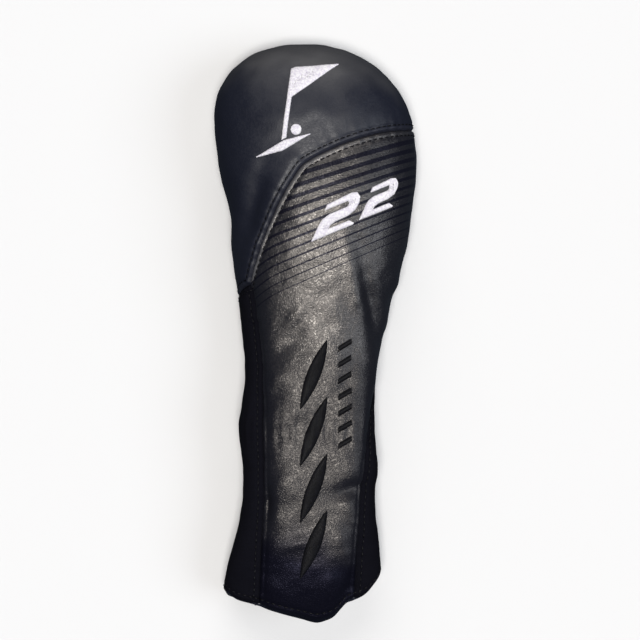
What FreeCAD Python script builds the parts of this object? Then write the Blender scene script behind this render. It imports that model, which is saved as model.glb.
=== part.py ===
"""Golf club head cover for a hybrid: a padded sleeve of sewn panels, lying on its back.

X runs across the cover, Y along it from the mouth to the crown, and Z up out of the front.
The cover is drawn with its mouth at Y 0, and every finished piece is then placed so that the
origin is under the middle of the cover, on the surface that it lies on.

The wall is built from the outside in: a skin of sewn panels, a foam laminated to each panel and
a fleece lining, with an elastic band and a facing sewn inside the lining and a binding round the
mouth. Each layer lies between two offsets of one body form, and each panel is the part of its
layer inside an outline seen from the front.
"""
import FreeCAD, Part
import Sketcher
import math
import os

Vector = FreeCAD.Vector

# Driving dimensions, in millimetres, degrees or plain counts.
SIZES = [
    ("overall_length", 340.0, "mouth's lowest point to the tip of the crown"),
    ("crown_along", 286.0, "where the dome of the crown starts"),
    ("crown_power", 2.15, "squareness of the dome seen from the front"),
    ("heel_power", 3.0, "squareness of the dome's underside seen from the side"),
    ("side_height", 22.0, "height of the widest line of the cover above the surface"),
    ("split_height", 19.5, "height of the level that parts the front outlines from the back ones"),
    ("upper_power", 2.25, "squareness of the section above the widest line"),
    ("lower_power", 2.8, "squareness of the section below the widest line"),
    ("base_dip", 2.5, "how far the form is pressed flat by its own weight"),
    ("tip_offset", -6.0, "sideways place of the tip"),
    ("mouth_overrun", 12.0, "length of the form past the mouth, trimmed off by the hems"),
    ("skin_thickness", 1.1, "synthetic leather and knit panels"),
    ("foam_thickness", 2.4, "foam laminated to the panels"),
    ("lining_thickness", 2.1, "fleece"),
    ("backing_thickness", 0.6, "seam tape and embroidery backing"),
    ("band_thickness", 0.9, "elastic band and facing, sewn to the lining's inner face"),
    ("elastic_along", 104.0, "lower edge of the elastic band"),
    ("elastic_width", 18.0, "width of the elastic band"),
    ("facing_width", 16.0, "depth of the facing turned inside the mouth"),
    ("binding_width", 2.0, "width of the binding that closes the wall at the hem"),
    ("thread_height", 0.7, "how far the embroidery stands above the skin"),
    ("stitch_radius", 0.35, "half the thickness of the topstitching thread"),
    ("stitch_length", 2.6, "length of one topstitch"),
    ("stitch_pitch", 3.8, "distance from one topstitch to the next"),
    ("stitch_row_offset", 3.2, "distance of a topstitch row from its seam"),
    ("hem_stitch_inset", 5.0, "distance of the hem's stitching from its edge"),
    ("tape_half_width", 5.0, "half the width of the seam tape"),
    ("zone_top", 80.0, "height above every part of the cover"),
    ("zone_bottom", 10.0, "depth below every part of the cover"),
    ("zone_reach", 75.0, "sideways distance past every part of the cover"),
    ("zone_end", 365.0, "distance past the tip of the crown"),
]

# Stations of the body form: place along, sideways offset, half width and top height.
STATIONS = [
    ("mouth", 0.0, -7.4, 48.3, 38.0),
    ("flare", 27.0, -7.0, 46.2, 41.0),
    ("sleeve", 68.0, -3.5, 39.2, 46.0),
    ("cuff", 91.0, -3.0, 39.6, 48.0),
    ("neck", 112.0, -5.1, 39.6, 49.0),
    ("throat", 147.0, -2.1, 39.4, 51.5),
    ("rise", 190.0, -0.2, 45.4, 56.0),
    ("shoulder", 218.0, 2.1, 51.8, 60.0),
    ("brow", 239.0, 3.2, 53.6, 62.0),
    ("temple", 260.0, 2.4, 56.8, 62.0),
    ("crown", 286.0, -0.1, 59.1, 60.0),
]

# Corners of the panel outlines seen from the front: name, across, along.
CORNERS = [
    ("seam_right", 58.0, 289.0),
    ("seam_corner", -5.5, 268.6),
    ("seam_bend", -8.6, 265.6),
    ("seam_left", -39.2, 198.0),
    ("wedge_end", -75.0, 184.0),
    ("left_seam_waist", -31.5, 86.0),
    ("left_hem", -34.6, 9.2),
    ("left_hem_end", -75.0, 20.0),
    ("hem_low", 0.5, 0.0),
    ("hem_fold", 13.0, 3.2),
    ("hem_notch", 20.5, 11.2),
    ("right_hem", 25.4, 12.0),
    ("right_hem_end", 75.0, 50.0),
    ("right_seam_waist", 30.5, 84.0),
    ("right_seam_top", 36.0, 135.0),
    ("right_side_top", 60.0, 137.0),
    ("back_hem_left", -48.0, 12.8),
    ("back_hem_right", 34.0, 18.6),
    ("back_neck_left", -39.0, 112.0),
    ("back_neck_right", 28.5, 112.0),
    ("back_shoulder_left", -41.0, 197.2),
    ("back_shoulder_right", 31.0, 137.0),
    ("back_temple_left", -50.0, 289.0),
    ("back_temple_right", 50.0, 289.0),
    ("back_tip", 0.0, 326.0),
]

# Radii of the curved stretches of the outlines.
RADII = [
    ("seam_right_radius", 152.0),
    ("seam_left_radius", 190.0),
    ("left_seam_radius", 700.0),
    ("right_seam_radius", 420.0),
    ("front_hem_radius", 200.0),
    ("back_hem_radius", 220.0),
    ("back_tip_radius", 62.0),
]

# Embroidery: the club's loft number, the flag emblem and the dark blades down the sleeve.
EMBROIDERY = [
    ("number_across", -2.0, "left foot of the first digit"),
    ("number_along", 222.7, "foot of the first digit"),
    ("number_angle", 22.5, "slope of the number's baseline"),
    ("number_height", 17.0, "height of a digit"),
    ("number_width", 28.0, "width of a digit"),
    ("number_slant", 9.8, "how far a digit leans over its height"),
    ("number_pitch", 29.6, "distance from one digit to the next"),
    ("second_rise", 1.0, "how far the second digit's foot stands above the first's"),
    ("second_width", 0.79, "width of the second digit, on the side that turns away, over the first's"),
    ("second_height", 0.9, "height of the second digit over the first's"),
    ("emblem_across", -18.0, "foot of the flagstick"),
    ("emblem_along", 281.0, "foot of the flagstick"),
    ("stick_length", 37.0, "height of the flagstick"),
    ("stick_width", 2.8, "width of the flagstick"),
    ("pennant_length", 28.0, "length of the pennant"),
    ("pennant_height", 15.5, "height of the pennant at the stick"),
    ("green_length", 34.0, "length of the green under the stick"),
    ("green_height", 5.0, "thickness of the green"),
    ("ball_radius", 3.0, "radius of the ball"),
    ("ball_across", 9.0, "distance of the ball from the stick"),
    ("blade_across", -8.5, "lower tip of a blade"),
    ("blade_along", 27.0, "lower tip of the first blade"),
    ("blade_run", 15.5, "sideways reach of a blade"),
    ("blade_rise", 40.0, "length of a blade along the sleeve"),
    ("blade_radius", 62.0, "radius of a blade's two edges"),
    ("blade_pitch", 33.0, "distance from one blade to the next"),
    ("blade_count", 4, "number of blades"),
    ("dash_across", 13.6, "lower corner of a dash"),
    ("dash_along", 103.0, "lower corner of the first dash"),
    ("dash_run", 7.6, "sideways reach of a dash"),
    ("dash_rise", 4.4, "how far a dash climbs"),
    ("dash_height", 3.0, "thickness of a dash along the sleeve"),
    ("dash_pitch", 9.4, "distance from one dash to the next"),
    ("dash_count", 7, "number of dashes"),
]

# Corners of the figure two as shares of its width and height, begun at the tip of its foot.
FIGURE_TWO = [
    (0, 0), (0.13, 0.42), (0.20, 0.54), (0.34, 0.61), (0.74, 0.62), (0.77, 0.70), (0.73, 0.80),
    (0.22, 0.80), (0.26, 0.94), (0.79, 1), (0.92, 0.95), (1, 0.78), (1, 0.60), (0.93, 0.43),
    (0.78, 0.34), (0.50, 0.32), (0.39, 0.27), (0.35, 0.17), (0.82, 0.17), (0.94, 0.03), (0.90, 0),
]

ROWS_ALONG_BODY = 20
ROWS_ALONG_DOME = 7
COLUMNS_AROUND = 24
CLOSING_ANGLE = -35  # where each ring of the form closes, under the right side
SMALL_STEP = 1e-4
MESH_TOLERANCE = 0.05
LAYER_TOLERANCE = 0.01  # how closely the panels have to fill their layer

# Edges of the zones, and each prism's foot and height, as expressions of the sheet's cells.
LEFT_EDGE = "-sizes.zone_reach"
RIGHT_EDGE = "sizes.zone_reach"
TOP_EDGE = "sizes.zone_end"
MOUTH_EDGE = "-2 * sizes.mouth_overrun"
UPPER = ("sizes.split_height", "sizes.zone_top - sizes.split_height")
LOWER = ("-sizes.zone_bottom", "sizes.zone_bottom + sizes.split_height")

doc = FreeCAD.newDocument("head_cover")
sheet = doc.addObject("Spreadsheet::Sheet", "sizes")


def fill_sheet():
    """Writes every driving dimension into the sheet, one aliased cell each."""
    rows = [(name, value) for name, value, note in SIZES + EMBROIDERY]
    rows += RADII
    for name, along, offset, half, top in STATIONS:
        rows += [(name + "_station", along), (name + "_offset", offset)]
        rows += [(name + "_half", half), (name + "_height", top)]
    for name, across, along in CORNERS:
        rows += [(name + "_across", across), (name + "_along", along)]
    taken = set()
    for number, (alias, value) in enumerate(rows, 1):
        assert alias not in taken, alias
        taken.add(alias)
        sheet.set(f"A{number}", alias)
        sheet.set(f"B{number}", str(value))
        sheet.setAlias(f"B{number}", alias)
    doc.recompute()


def size(alias):
    """The value of one cell of the sheet."""
    return float(sheet.get(alias))


# ---------------------------------------------------------------- body form


def eased(along, places, values):
    """A smooth curve through the given values, level at both ends."""
    last = len(places) - 1
    if along <= places[0]:
        return values[0]
    if along >= places[last]:
        return values[last]
    slopes = [0.0] * (last + 1)
    for i in range(1, last):
        slopes[i] = (values[i + 1] - values[i - 1]) / (places[i + 1] - places[i - 1])
    i = max(k for k in range(last) if places[k] <= along)
    gap = places[i + 1] - places[i]
    share = (along - places[i]) / gap
    start = (1 + 2 * share) * (1 - share) ** 2 * values[i]
    end = share**2 * (3 - 2 * share) * values[i + 1]
    leave = share * (1 - share) ** 2 * gap * slopes[i]
    arrive = share**2 * (share - 1) * gap * slopes[i + 1]
    return start + end + leave + arrive


def read_stations():
    """The stations as read back from the sheet."""
    names = [row[0] for row in STATIONS]
    return {
        "along": [size(name + "_station") for name in names],
        "offset": [size(name + "_offset") for name in names],
        "half": [size(name + "_half") for name in names],
        "top": [size(name + "_height") for name in names],
    }


def section(along):
    """Sideways offset, half width, height above and depth below the widest line at a place along."""
    places = stations["along"]
    dome = max(0.0, (along - size("crown_along")) / (size("overall_length") - size("crown_along")))
    dome = min(1.0, dome)
    round_off = (1 - dome ** size("crown_power")) ** (1 / size("crown_power"))
    round_under = (1 - dome ** size("heel_power")) ** (1 / size("heel_power"))
    offset = eased(
        along,
        places + [size("overall_length")],
        stations["offset"] + [size("tip_offset")],
    )
    half = eased(along, places, stations["half"]) * round_off
    above = (eased(along, places, stations["top"]) - size("side_height")) * round_off
    below = (size("side_height") + size("base_dip")) * round_under
    return offset, half, above, below


def place_along(share):
    """The place along for a share from 0 to 2: the body up to 1, then the dome to its tip at 2."""
    start = -size("mouth_overrun")
    if share <= 1:
        return start + share * (size("crown_along") - start)
    dome = size("overall_length") - size("crown_along")
    return size("crown_along") + dome * math.sin((share - 1) * math.pi / 2)


def form_point(share, angle):
    """A point of the body form. The angle is seen from the mouth, from -90 at the bottom."""
    offset, half, above, below = section(place_along(share))
    turn = math.radians(angle)
    power = size("upper_power") if math.sin(turn) >= 0 else size("lower_power")
    reach = (abs(math.cos(turn)) ** power + abs(math.sin(turn)) ** power) ** (-1 / power)
    rise = above if math.sin(turn) >= 0 else below
    return Vector(
        offset + half * reach * math.cos(turn),
        place_along(share),
        size("side_height") + rise * reach * math.sin(turn),
    )


def form_normal(share, angle):
    """The outward direction at a point of the form."""
    if share >= 2:
        return Vector(0, 1, 0)
    back, ahead = max(0.0, share - SMALL_STEP), min(2.0 - SMALL_STEP, share + SMALL_STEP)
    lengthwise = form_point(ahead, angle) - form_point(back, angle)
    around = form_point(share, angle + 0.1) - form_point(share, angle - 0.1)
    return lengthwise.cross(around).normalize()


def form_solid(depth):
    """The body form as a closed solid, its surface a given depth inside the outer skin."""
    shares = [i / ROWS_ALONG_BODY for i in range(ROWS_ALONG_BODY)]
    shares += [1 + i / ROWS_ALONG_DOME for i in range(ROWS_ALONG_DOME + 1)]
    angles = [CLOSING_ANGLE + 360 * i / COLUMNS_AROUND for i in range(COLUMNS_AROUND)]
    grid = []
    for share in shares:
        row = [form_point(share, a) - form_normal(share, a) * depth for a in angles]
        grid.append(row + row[:1])
    surface = Part.BSplineSurface()
    surface.interpolate(grid)
    for column in range(surface.NbVPoles):
        surface.setPole(surface.NbUPoles, column + 1, grid[-1][0])
    side = surface.toShape()
    mouth = -size("mouth_overrun")
    rims = [e for e in side.Edges if not e.Degenerated and abs(e.BoundBox.YMax - mouth) < 0.05]
    end = Part.Face(Part.Wire(rims))
    for closing in (end, end.reversed()):
        solid = Part.makeSolid(Part.makeShell([side, closing]))
        if solid.isValid():
            return solid
    raise ValueError(f"no solid at depth {depth}")


def add_feature(name, shape):
    """A document object that holds a shape made by Part's own functions."""
    feature = doc.addObject("Part::Feature", name)
    feature.Shape = shape
    return feature


def add_form(name, depth):
    """A form at a depth, pressed flat at that height above the surface it lies on."""
    rounded = add_feature(name + "_round", form_solid(depth))
    press = level_box(name + "_press", MOUTH_EDGE, "sizes.zone_end", "-sizes.zone_bottom", str(depth))
    return cut(name, rounded, press)


# ---------------------------------------------------------------- booleans


def cut(name, base, tool):
    made = doc.addObject("Part::Cut", name)
    made.Base, made.Tool = base, tool
    return made


def common(name, base, tool):
    made = doc.addObject("Part::Common", name)
    made.Base, made.Tool = base, tool
    return made


def fuse(name, *shapes):
    made = doc.addObject("Part::MultiFuse", name)
    made.Shapes = list(shapes)
    return made


def level_box(name, near, far, bottom, top):
    """A box as wide as the zones, between two places along and two heights, all expressions."""
    box = doc.addObject("Part::Box", name)
    box.setExpression("Length", "2 * sizes.zone_reach")
    box.setExpression("Width", f"({far}) - ({near})")
    box.setExpression("Height", f"({top}) - ({bottom})")
    box.setExpression("Placement.Base.x", "-sizes.zone_reach")
    box.setExpression("Placement.Base.y", near)
    box.setExpression("Placement.Base.z", bottom)
    return box


# ---------------------------------------------------------------- outlines


def worth(expression):
    """The value of an expression of sheet cells."""
    sheet.set("D1", "=" + expression.replace("sizes.", ""))
    doc.recompute([sheet])
    value = float(sheet.get("D1"))
    sheet.clear("D1")
    return value


def point_at(across, along):
    """A corner placed by two expressions: both expressions and the point that they give."""
    return across, along, Vector(worth(across), worth(along), 0)


def corner(name, ahead="0"):
    """A named corner, moved along the cover by an expression."""
    return point_at(f"sizes.{name}_across", f"sizes.{name}_along + {ahead}")


def arc_middle(start, end, radius, side):
    """The middle of an arc of that radius, bowed to the left of its direction when side is 1."""
    chord = end - start
    sagitta = radius - math.sqrt(radius**2 - (chord.Length / 2) ** 2)
    left = Vector(-chord.y, chord.x, 0).normalize()
    return (start + end) / 2 + left * sagitta * side


def bind(sketch, constraint, expression):
    """Adds a constraint to a sketch and binds its value to an expression."""
    number = sketch.addConstraint(constraint)
    sketch.setExpression(f"Constraints[{number}]", expression)


def draw_outline(sketch, corners, bows=None):
    """Draws a closed outline. bows maps a side's number to its radius cell and the way it bows."""
    bows = bows or {}
    sides = []
    for i, (across, along, start) in enumerate(corners):
        end = corners[(i + 1) % len(corners)][2]
        if i not in bows:
            sides.append((sketch.addGeometry(Part.LineSegment(start, end)), 1, 2))
            continue
        radius, way = bows[i]
        number = sketch.addGeometry(Part.Arc(start, arc_middle(start, end, size(radius), way), end))
        sides.append((number, 2, 1) if way > 0 else (number, 1, 2))
        bind(sketch, Sketcher.Constraint("Radius", number, size(radius)), "sizes." + radius)
    for i, (number, first, last) in enumerate(sides):
        after, after_first, after_last = sides[(i + 1) % len(sides)]
        sketch.addConstraint(Sketcher.Constraint("Coincident", number, last, after, after_first))
        across, along, start = corners[i]
        place = (-1, 1, number, first)
        bind(sketch, Sketcher.Constraint("DistanceX", *place, start.x), across)
        bind(sketch, Sketcher.Constraint("DistanceY", *place, start.y), along)


def prism(name, draw, bottom, height, across="0", along="0", angle="0"):
    """A body padded straight up from a sketch on a level plane. draw fills in the sketch."""
    body = doc.addObject("PartDesign::Body", name)
    sketch = body.newObject("Sketcher::SketchObject", name + "_sketch")
    plane = [f for f in body.Origin.OriginFeatures if f.Role == "XY_Plane"][0]
    sketch.AttachmentSupport = (plane, "")
    sketch.MapMode = "FlatFace"
    sketch.setExpression("AttachmentOffset.Base.x", across)
    sketch.setExpression("AttachmentOffset.Base.y", along)
    sketch.setExpression("AttachmentOffset.Base.z", bottom)
    sketch.setExpression("AttachmentOffset.Rotation.Angle", angle)
    draw(sketch)
    pad = body.newObject("PartDesign::Pad", name + "_pad")
    pad.Profile = sketch
    pad.setExpression("Length", height)
    return body


def upper_prism(name, corners, bows=None):
    """A prism above the level that parts the outlines."""
    return prism(name, lambda sketch: draw_outline(sketch, corners, bows), *UPPER)


def lower_prism(name, corners, bows=None):
    """A prism below the level that parts the outlines."""
    return prism(name, lambda sketch: draw_outline(sketch, corners, bows), *LOWER)


def make_zones():
    """The zone of each panel: a prism above the parting level joined to one below it."""
    left_foot = point_at("sizes.left_hem_across", MOUTH_EDGE)
    right_foot = point_at("sizes.right_hem_across", MOUTH_EDGE)
    far_left_foot, far_right_foot = point_at(LEFT_EDGE, MOUTH_EDGE), point_at(RIGHT_EDGE, MOUTH_EDGE)
    far_left_top, far_right_top = point_at(LEFT_EDGE, TOP_EDGE), point_at(RIGHT_EDGE, TOP_EDGE)
    far_seam = point_at(RIGHT_EDGE, "sizes.seam_right_along")
    far_side = point_at(RIGHT_EDGE, "sizes.right_side_top_along")
    crown_seam = [corner(c) for c in ("seam_right", "seam_corner", "seam_bend", "seam_left")]
    left_seam = [corner(c) for c in ("seam_left", "left_seam_waist", "left_hem")]
    right_seam = [corner(c) for c in ("right_hem", "right_seam_waist", "right_seam_top")]
    back_left = [corner(c) for c in ("back_hem_left", "back_neck_left", "back_shoulder_left")]
    back_right = [corner(c) for c in ("back_hem_right", "back_neck_right", "back_shoulder_right")]
    back_left_foot = point_at("sizes.back_hem_left_across", MOUTH_EDGE)
    back_right_foot = point_at("sizes.back_hem_right_across", MOUTH_EDGE)
    back_top = [corner(c) for c in ("back_temple_right", "back_tip", "back_temple_left")]
    wedge_end, side_top = corner("wedge_end"), corner("right_side_top")

    crown = fuse(
        "crown_zone",
        upper_prism(
            "crown_zone_upper",
            crown_seam + [wedge_end, far_left_top, far_right_top, far_seam],
            {0: ("seam_right_radius", -1), 2: ("seam_left_radius", -1)},
        ),
        lower_prism(
            "crown_zone_lower",
            [wedge_end, back_left[2], back_top[2], back_top[1], back_top[0]]
            + [far_seam, far_right_top, far_left_top],
            {2: ("back_tip_radius", 1), 3: ("back_tip_radius", 1)},
        ),
    )
    front = fuse(
        "front_zone",
        upper_prism(
            "front_zone_upper",
            crown_seam[::-1] + [far_seam, far_side, side_top]
            + right_seam[::-1] + [right_foot, left_foot] + left_seam[:0:-1],
            {
                0: ("seam_left_radius", 1),
                2: ("seam_right_radius", 1),
                7: ("right_seam_radius", -1),
                8: ("right_seam_radius", -1),
                12: ("left_seam_radius", -1),
                13: ("left_seam_radius", -1),
            },
        ),
        lower_prism("front_zone_lower", [far_side, far_seam, back_top[0], back_right[2]]),
    )
    left = fuse(
        "left_side_zone",
        upper_prism(
            "left_side_zone_upper",
            left_seam + [left_foot, far_left_foot, wedge_end],
            {0: ("left_seam_radius", 1), 1: ("left_seam_radius", 1)},
        ),
        lower_prism(
            "left_side_zone_lower",
            [wedge_end, far_left_foot, back_left_foot] + back_left,
        ),
    )
    right = fuse(
        "right_side_zone",
        upper_prism(
            "right_side_zone_upper",
            right_seam + [side_top, far_side, far_right_foot, right_foot],
            {0: ("right_seam_radius", 1), 1: ("right_seam_radius", 1)},
        ),
        lower_prism(
            "right_side_zone_lower",
            [far_side] + back_right[::-1] + [back_right_foot, far_right_foot],
        ),
    )
    back = lower_prism(
        "back_zone",
        [back_left_foot, back_right_foot] + back_right + back_top + back_left[::-1],
        {5: ("back_tip_radius", -1), 6: ("back_tip_radius", -1)},
    )
    return {
        "crown": crown,
        "front": front,
        "back": back,
        "left_side": left,
        "right_side": right,
    }


def make_trim(name, ahead):
    """All that lies past the hem of the mouth, moved up the cover by an expression."""
    ends = [point_at(RIGHT_EDGE, TOP_EDGE), point_at(LEFT_EDGE, TOP_EDGE)]
    front_hem = ["left_hem_end", "left_hem", "hem_low", "hem_fold", "hem_notch", "right_hem"]
    back_hem = ["left_hem_end", "back_hem_left", "back_hem_right"]
    hems = [[corner(c, ahead) for c in hem + ["right_hem_end"]] for hem in (front_hem, back_hem)]
    return fuse(
        name,
        upper_prism(name + "_upper", hems[0] + ends, {1: ("front_hem_radius", -1)}),
        lower_prism(name + "_lower", hems[1] + ends, {1: ("back_hem_radius", 1)}),
    )


# ---------------------------------------------------------------- threads


def skin_point(across, along):
    """The point of the upper skin over a place, or None past the cover's edge."""
    offset, half, above, below = section(along)
    reach = abs(across - offset) / half if half > 0 else 1.0
    if reach >= 0.995:
        return None
    rise = (1 - reach ** size("upper_power")) ** (1 / size("upper_power"))
    return Vector(across, along, size("side_height") + above * rise)


def skin_normal(across, along):
    """The outward direction of the upper skin over a place."""
    step = 0.05
    left, right = skin_point(across - step, along), skin_point(across + step, along)
    near, far = skin_point(across, along - step), skin_point(across, along + step)
    if None in (left, right, near, far):
        return None
    return (right - left).cross(far - near).normalize()


def seam_path(corners, bows=None):
    """The edges of a seam seen from the front, through named corners."""
    bows = bows or {}
    edges = []
    for i in range(len(corners) - 1):
        start, end = corners[i][2], corners[i + 1][2]
        if i in bows:
            radius, way = bows[i]
            middle = arc_middle(start, end, size(radius), way)
            edges.append(Part.Arc(start, middle, end).toShape())
        else:
            edges.append(Part.LineSegment(start, end).toShape())
    return edges


def make_stitches(name, edges, aside, ahead=0.0):
    """A row of topstitches beside a seam, each a short rod that lies on the skin."""
    radius, length, pitch = size("stitch_radius"), size("stitch_length"), size("stitch_pitch")
    total = sum(edge.Length for edge in edges)
    rods = []
    for number in range(int(total / pitch)):
        along_seam = (number + 0.5) * pitch
        for edge in edges:
            if along_seam <= edge.Length:
                break
            along_seam -= edge.Length
        parameter = edge.getParameterByLength(along_seam)
        middle, heading = edge.valueAt(parameter), edge.tangentAt(parameter).normalize()
        left = Vector(-heading.y, heading.x, 0)
        middle = middle + left * aside + Vector(0, ahead, 0)
        start = skin_point(*(middle - heading * length / 2)[:2])
        end = skin_point(*(middle + heading * length / 2)[:2])
        outward = skin_normal(*middle[:2])
        if None in (start, end, outward):
            continue
        heading = end - start
        rods.append(Part.makeCylinder(radius, heading.Length, start + outward * radius, heading))
    return add_feature(name, Part.makeCompound(rods))


# ---------------------------------------------------------------- embroidery


LEAN = "sizes.number_slant / sizes.number_height"


def leaning(across, along):
    """A corner in a frame that leans over as the digits do."""
    return point_at(f"{across} + ({along}) * {LEAN}", along)


def draw_digit(sketch, start, foot, wide, tall):
    """A slanted figure two, its foot placed and its size scaled by expressions."""
    width, height = f"sizes.number_width * {wide}", f"sizes.number_height * {tall}"
    draw_outline(sketch, [
        leaning(f"{start} + {across} * {width}", f"{foot} + {up} * {height}")
        for across, up in FIGURE_TWO
    ])


def draw_number(sketch):
    """The two digits. The second is on the side that turns away, so it is a little smaller."""
    draw_digit(sketch, "0", "0", "1", "1")
    second = [f"sizes.second_{size_name}" for size_name in ("rise", "width", "height")]
    draw_digit(sketch, "sizes.number_pitch", *second)


def draw_box(sketch, left, right, foot, top):
    """Draws a rectangle, given by the expressions of its left, right, foot and top."""
    rows = [(left, foot), (right, foot), (right, top), (left, top)]
    draw_outline(sketch, [point_at(u, v) for u, v in rows])


def draw_emblem(sketch):
    """A flag on its stick, standing on a strip of green with a ball beside it."""
    half_stick, half_green = "sizes.stick_width / 2", "sizes.green_length / 2"
    top, depth = "sizes.stick_length", "sizes.green_height"
    draw_outline(sketch, [
        leaning(f"-({half_stick})", "1"),
        leaning(half_stick, "1"),
        leaning(half_stick, f"{top} - sizes.pennant_height"),
        leaning(f"{half_stick} + sizes.pennant_length", f"{top} - sizes.pennant_height / 2"),
        leaning(half_stick, top),
        leaning(f"-({half_stick})", top),
    ])
    draw_outline(sketch, [
        leaning(f"-({half_green})", f"-{depth} / 2"), leaning("0", f"-{depth}"),
        leaning(half_green, f"-{depth} / 2"), leaning("0", "0"),
    ])
    middle = Vector(size("ball_across"), size("ball_radius"), 0)
    ball = sketch.addGeometry(Part.Circle(middle, Vector(0, 0, 1), size("ball_radius")))
    bind(sketch, Sketcher.Constraint("Radius", ball, middle.y), "sizes.ball_radius")
    bind(sketch, Sketcher.Constraint("DistanceX", -1, 1, ball, 3, middle.x), "sizes.ball_across")
    bind(sketch, Sketcher.Constraint("DistanceY", -1, 1, ball, 3, middle.y), "sizes.ball_radius")


def draw_blades(sketch):
    """A column of leaning blades, each between two arcs."""
    for number in range(int(size("blade_count"))):
        foot = f"{number} * sizes.blade_pitch"
        tips = [point_at("0", foot), point_at("sizes.blade_run", foot + " + sizes.blade_rise")]
        draw_outline(sketch, tips, {0: ("blade_radius", -1), 1: ("blade_radius", -1)})


def draw_dashes(sketch):
    """A column of short leaning dashes."""
    for number in range(int(size("dash_count"))):
        foot = f"{number} * sizes.dash_pitch"
        far = foot + " + sizes.dash_rise"
        draw_outline(sketch, [point_at("0", foot), point_at("sizes.dash_run", far),
                              point_at("sizes.dash_run", far + " + sizes.dash_height"),
                              point_at("0", foot + " + sizes.dash_height")])


def motif(name, draw, foot, angle="0"):
    """A prism over one embroidered motif, its sketch turned about the motif's foot."""
    across, along = f"sizes.{foot}_across", f"sizes.{foot}_along"
    return prism(name, draw, *UPPER, across, along, angle)


# ---------------------------------------------------------------- the cover


fill_sheet()
stations = read_stations()

SKIN = size("skin_thickness")
BACKING = SKIN + size("backing_thickness")
FOAM = BACKING + size("foam_thickness")
LINING = FOAM + size("lining_thickness")
form_thread = add_form("form_thread", -size("thread_height"))
form_outer = add_form("form_outer", 0.0)
form_skin = add_form("form_skin", SKIN)
form_backing = add_form("form_backing", BACKING)
form_foam = add_form("form_foam", FOAM)
form_lining = add_form("form_lining", LINING)
form_band = add_form("form_band", LINING + size("band_thickness"))

zones = make_zones()
trim_hem = make_trim("trim_hem", "0")
trim_binding = make_trim("trim_binding", "sizes.binding_width")
trim_facing = make_trim("trim_facing", "sizes.facing_width")

skin_layer = common("skin_layer", cut("skin_shell", form_outer, form_skin), trim_hem)
foam_layer = common("foam_layer", cut("foam_shell", form_backing, form_foam), trim_binding)
lining_layer = common("lining_layer", cut("lining_shell", form_foam, form_lining), trim_binding)
thread_layer = cut("thread_layer", form_thread, form_outer)
backing_layer = cut("backing_layer", form_skin, form_backing)
band_layer = cut("band_layer", form_lining, form_band)

pieces = {}
for zone_name, zone in zones.items():
    for layer, suffix in ((skin_layer, "_panel"), (foam_layer, "_foam")):
        pieces[zone_name + suffix] = common(zone_name + suffix, layer, zone)

# Lining: one sock in the head and two halves in the sleeve.
head_box = level_box("head_box", "sizes.throat_station", "sizes.zone_end",
                     "-sizes.zone_bottom", "sizes.zone_top")
neck_box = level_box("neck_box", "sizes.elastic_along", "sizes.elastic_along + sizes.elastic_width",
                     "-sizes.zone_bottom", "sizes.zone_top")
sleeve_front_box = level_box("sleeve_front_box", MOUTH_EDGE, "sizes.throat_station",
                             "sizes.split_height", "sizes.zone_top")
sleeve_back_box = level_box("sleeve_back_box", MOUTH_EDGE, "sizes.throat_station",
                            "-sizes.zone_bottom", "sizes.split_height")
pieces["head_lining"] = common("head_lining", lining_layer, head_box)
pieces["sleeve_lining_front"] = common("sleeve_lining_front", lining_layer, sleeve_front_box)
pieces["sleeve_lining_back"] = common("sleeve_lining_back", lining_layer, sleeve_back_box)

# Neck elastic and facing, inside the lining, and the binding that closes the wall at the hem.
pieces["neck_elastic"] = common("neck_elastic", band_layer, neck_box)
facing_band = cut("facing_band", trim_hem, trim_facing)
pieces["hem_facing"] = common("hem_facing", band_layer, facing_band)
binding_band = cut("binding_band", trim_hem, trim_binding)
binding_layer = cut("binding_layer", form_skin, form_lining)
pieces["hem_binding"] = common("hem_binding", binding_layer, binding_band)

# Crown seam: its tape lies under the skin and follows the seam.
seam_corners = [corner(c) for c in ("seam_right", "seam_corner", "seam_bend", "seam_left")]
crown_edges = seam_path(seam_corners, {0: ("seam_right_radius", -1), 2: ("seam_left_radius", -1)})
tape_outline = Part.Wire(crown_edges).makeOffset2D(size("tape_half_width"), 2, False, False)
tape_outline.translate(Vector(0, 0, size("split_height")))
tape_band = add_feature(
    "tape_band",
    Part.Face(tape_outline).extrude(Vector(0, 0, size("zone_top") - size("split_height"))),
)
pieces["seam_tape"] = common("seam_tape", backing_layer, tape_band)

# Embroidery, and the backing behind each motif.
MARGIN = "3"
turn = "sizes.number_angle"
motifs = [
    ("number", draw_number, turn),
    ("emblem", draw_emblem, turn),
    ("blade", draw_blades, "0"),
    ("dash", draw_dashes, "0"),
]
for motif_name, draw, angle in motifs:
    name = motif_name + "_embroidery"
    pieces[name] = common(name, thread_layer, motif(motif_name + "_prism", draw, motif_name, angle))

backing_boxes = [
    ("number", turn, (
        "-" + MARGIN, "sizes.number_pitch + sizes.number_width + 2 * " + MARGIN,
        "-" + MARGIN, "sizes.number_height + " + MARGIN,
    )),
    ("emblem", turn, (
        "-sizes.green_length / 2", "sizes.pennant_length + 4 * " + MARGIN,
        "-sizes.green_height", "sizes.stick_length - " + MARGIN,
    )),
    ("blade", "0", (
        "-" + MARGIN, "sizes.dash_across - sizes.blade_across + sizes.dash_run + " + MARGIN,
        "-" + MARGIN, "(sizes.blade_count - 1) * sizes.blade_pitch + sizes.blade_rise + " + MARGIN,
    )),
]
for motif_name, angle, box in backing_boxes:
    name = motif_name + "_backing"
    patch = motif(name + "_prism", lambda sketch: draw_box(sketch, *box), motif_name, angle)
    clear = patch if motif_name == "blade" else cut(name + "_clear", patch, tape_band)
    pieces[name] = common(name, backing_layer, clear)

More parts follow.
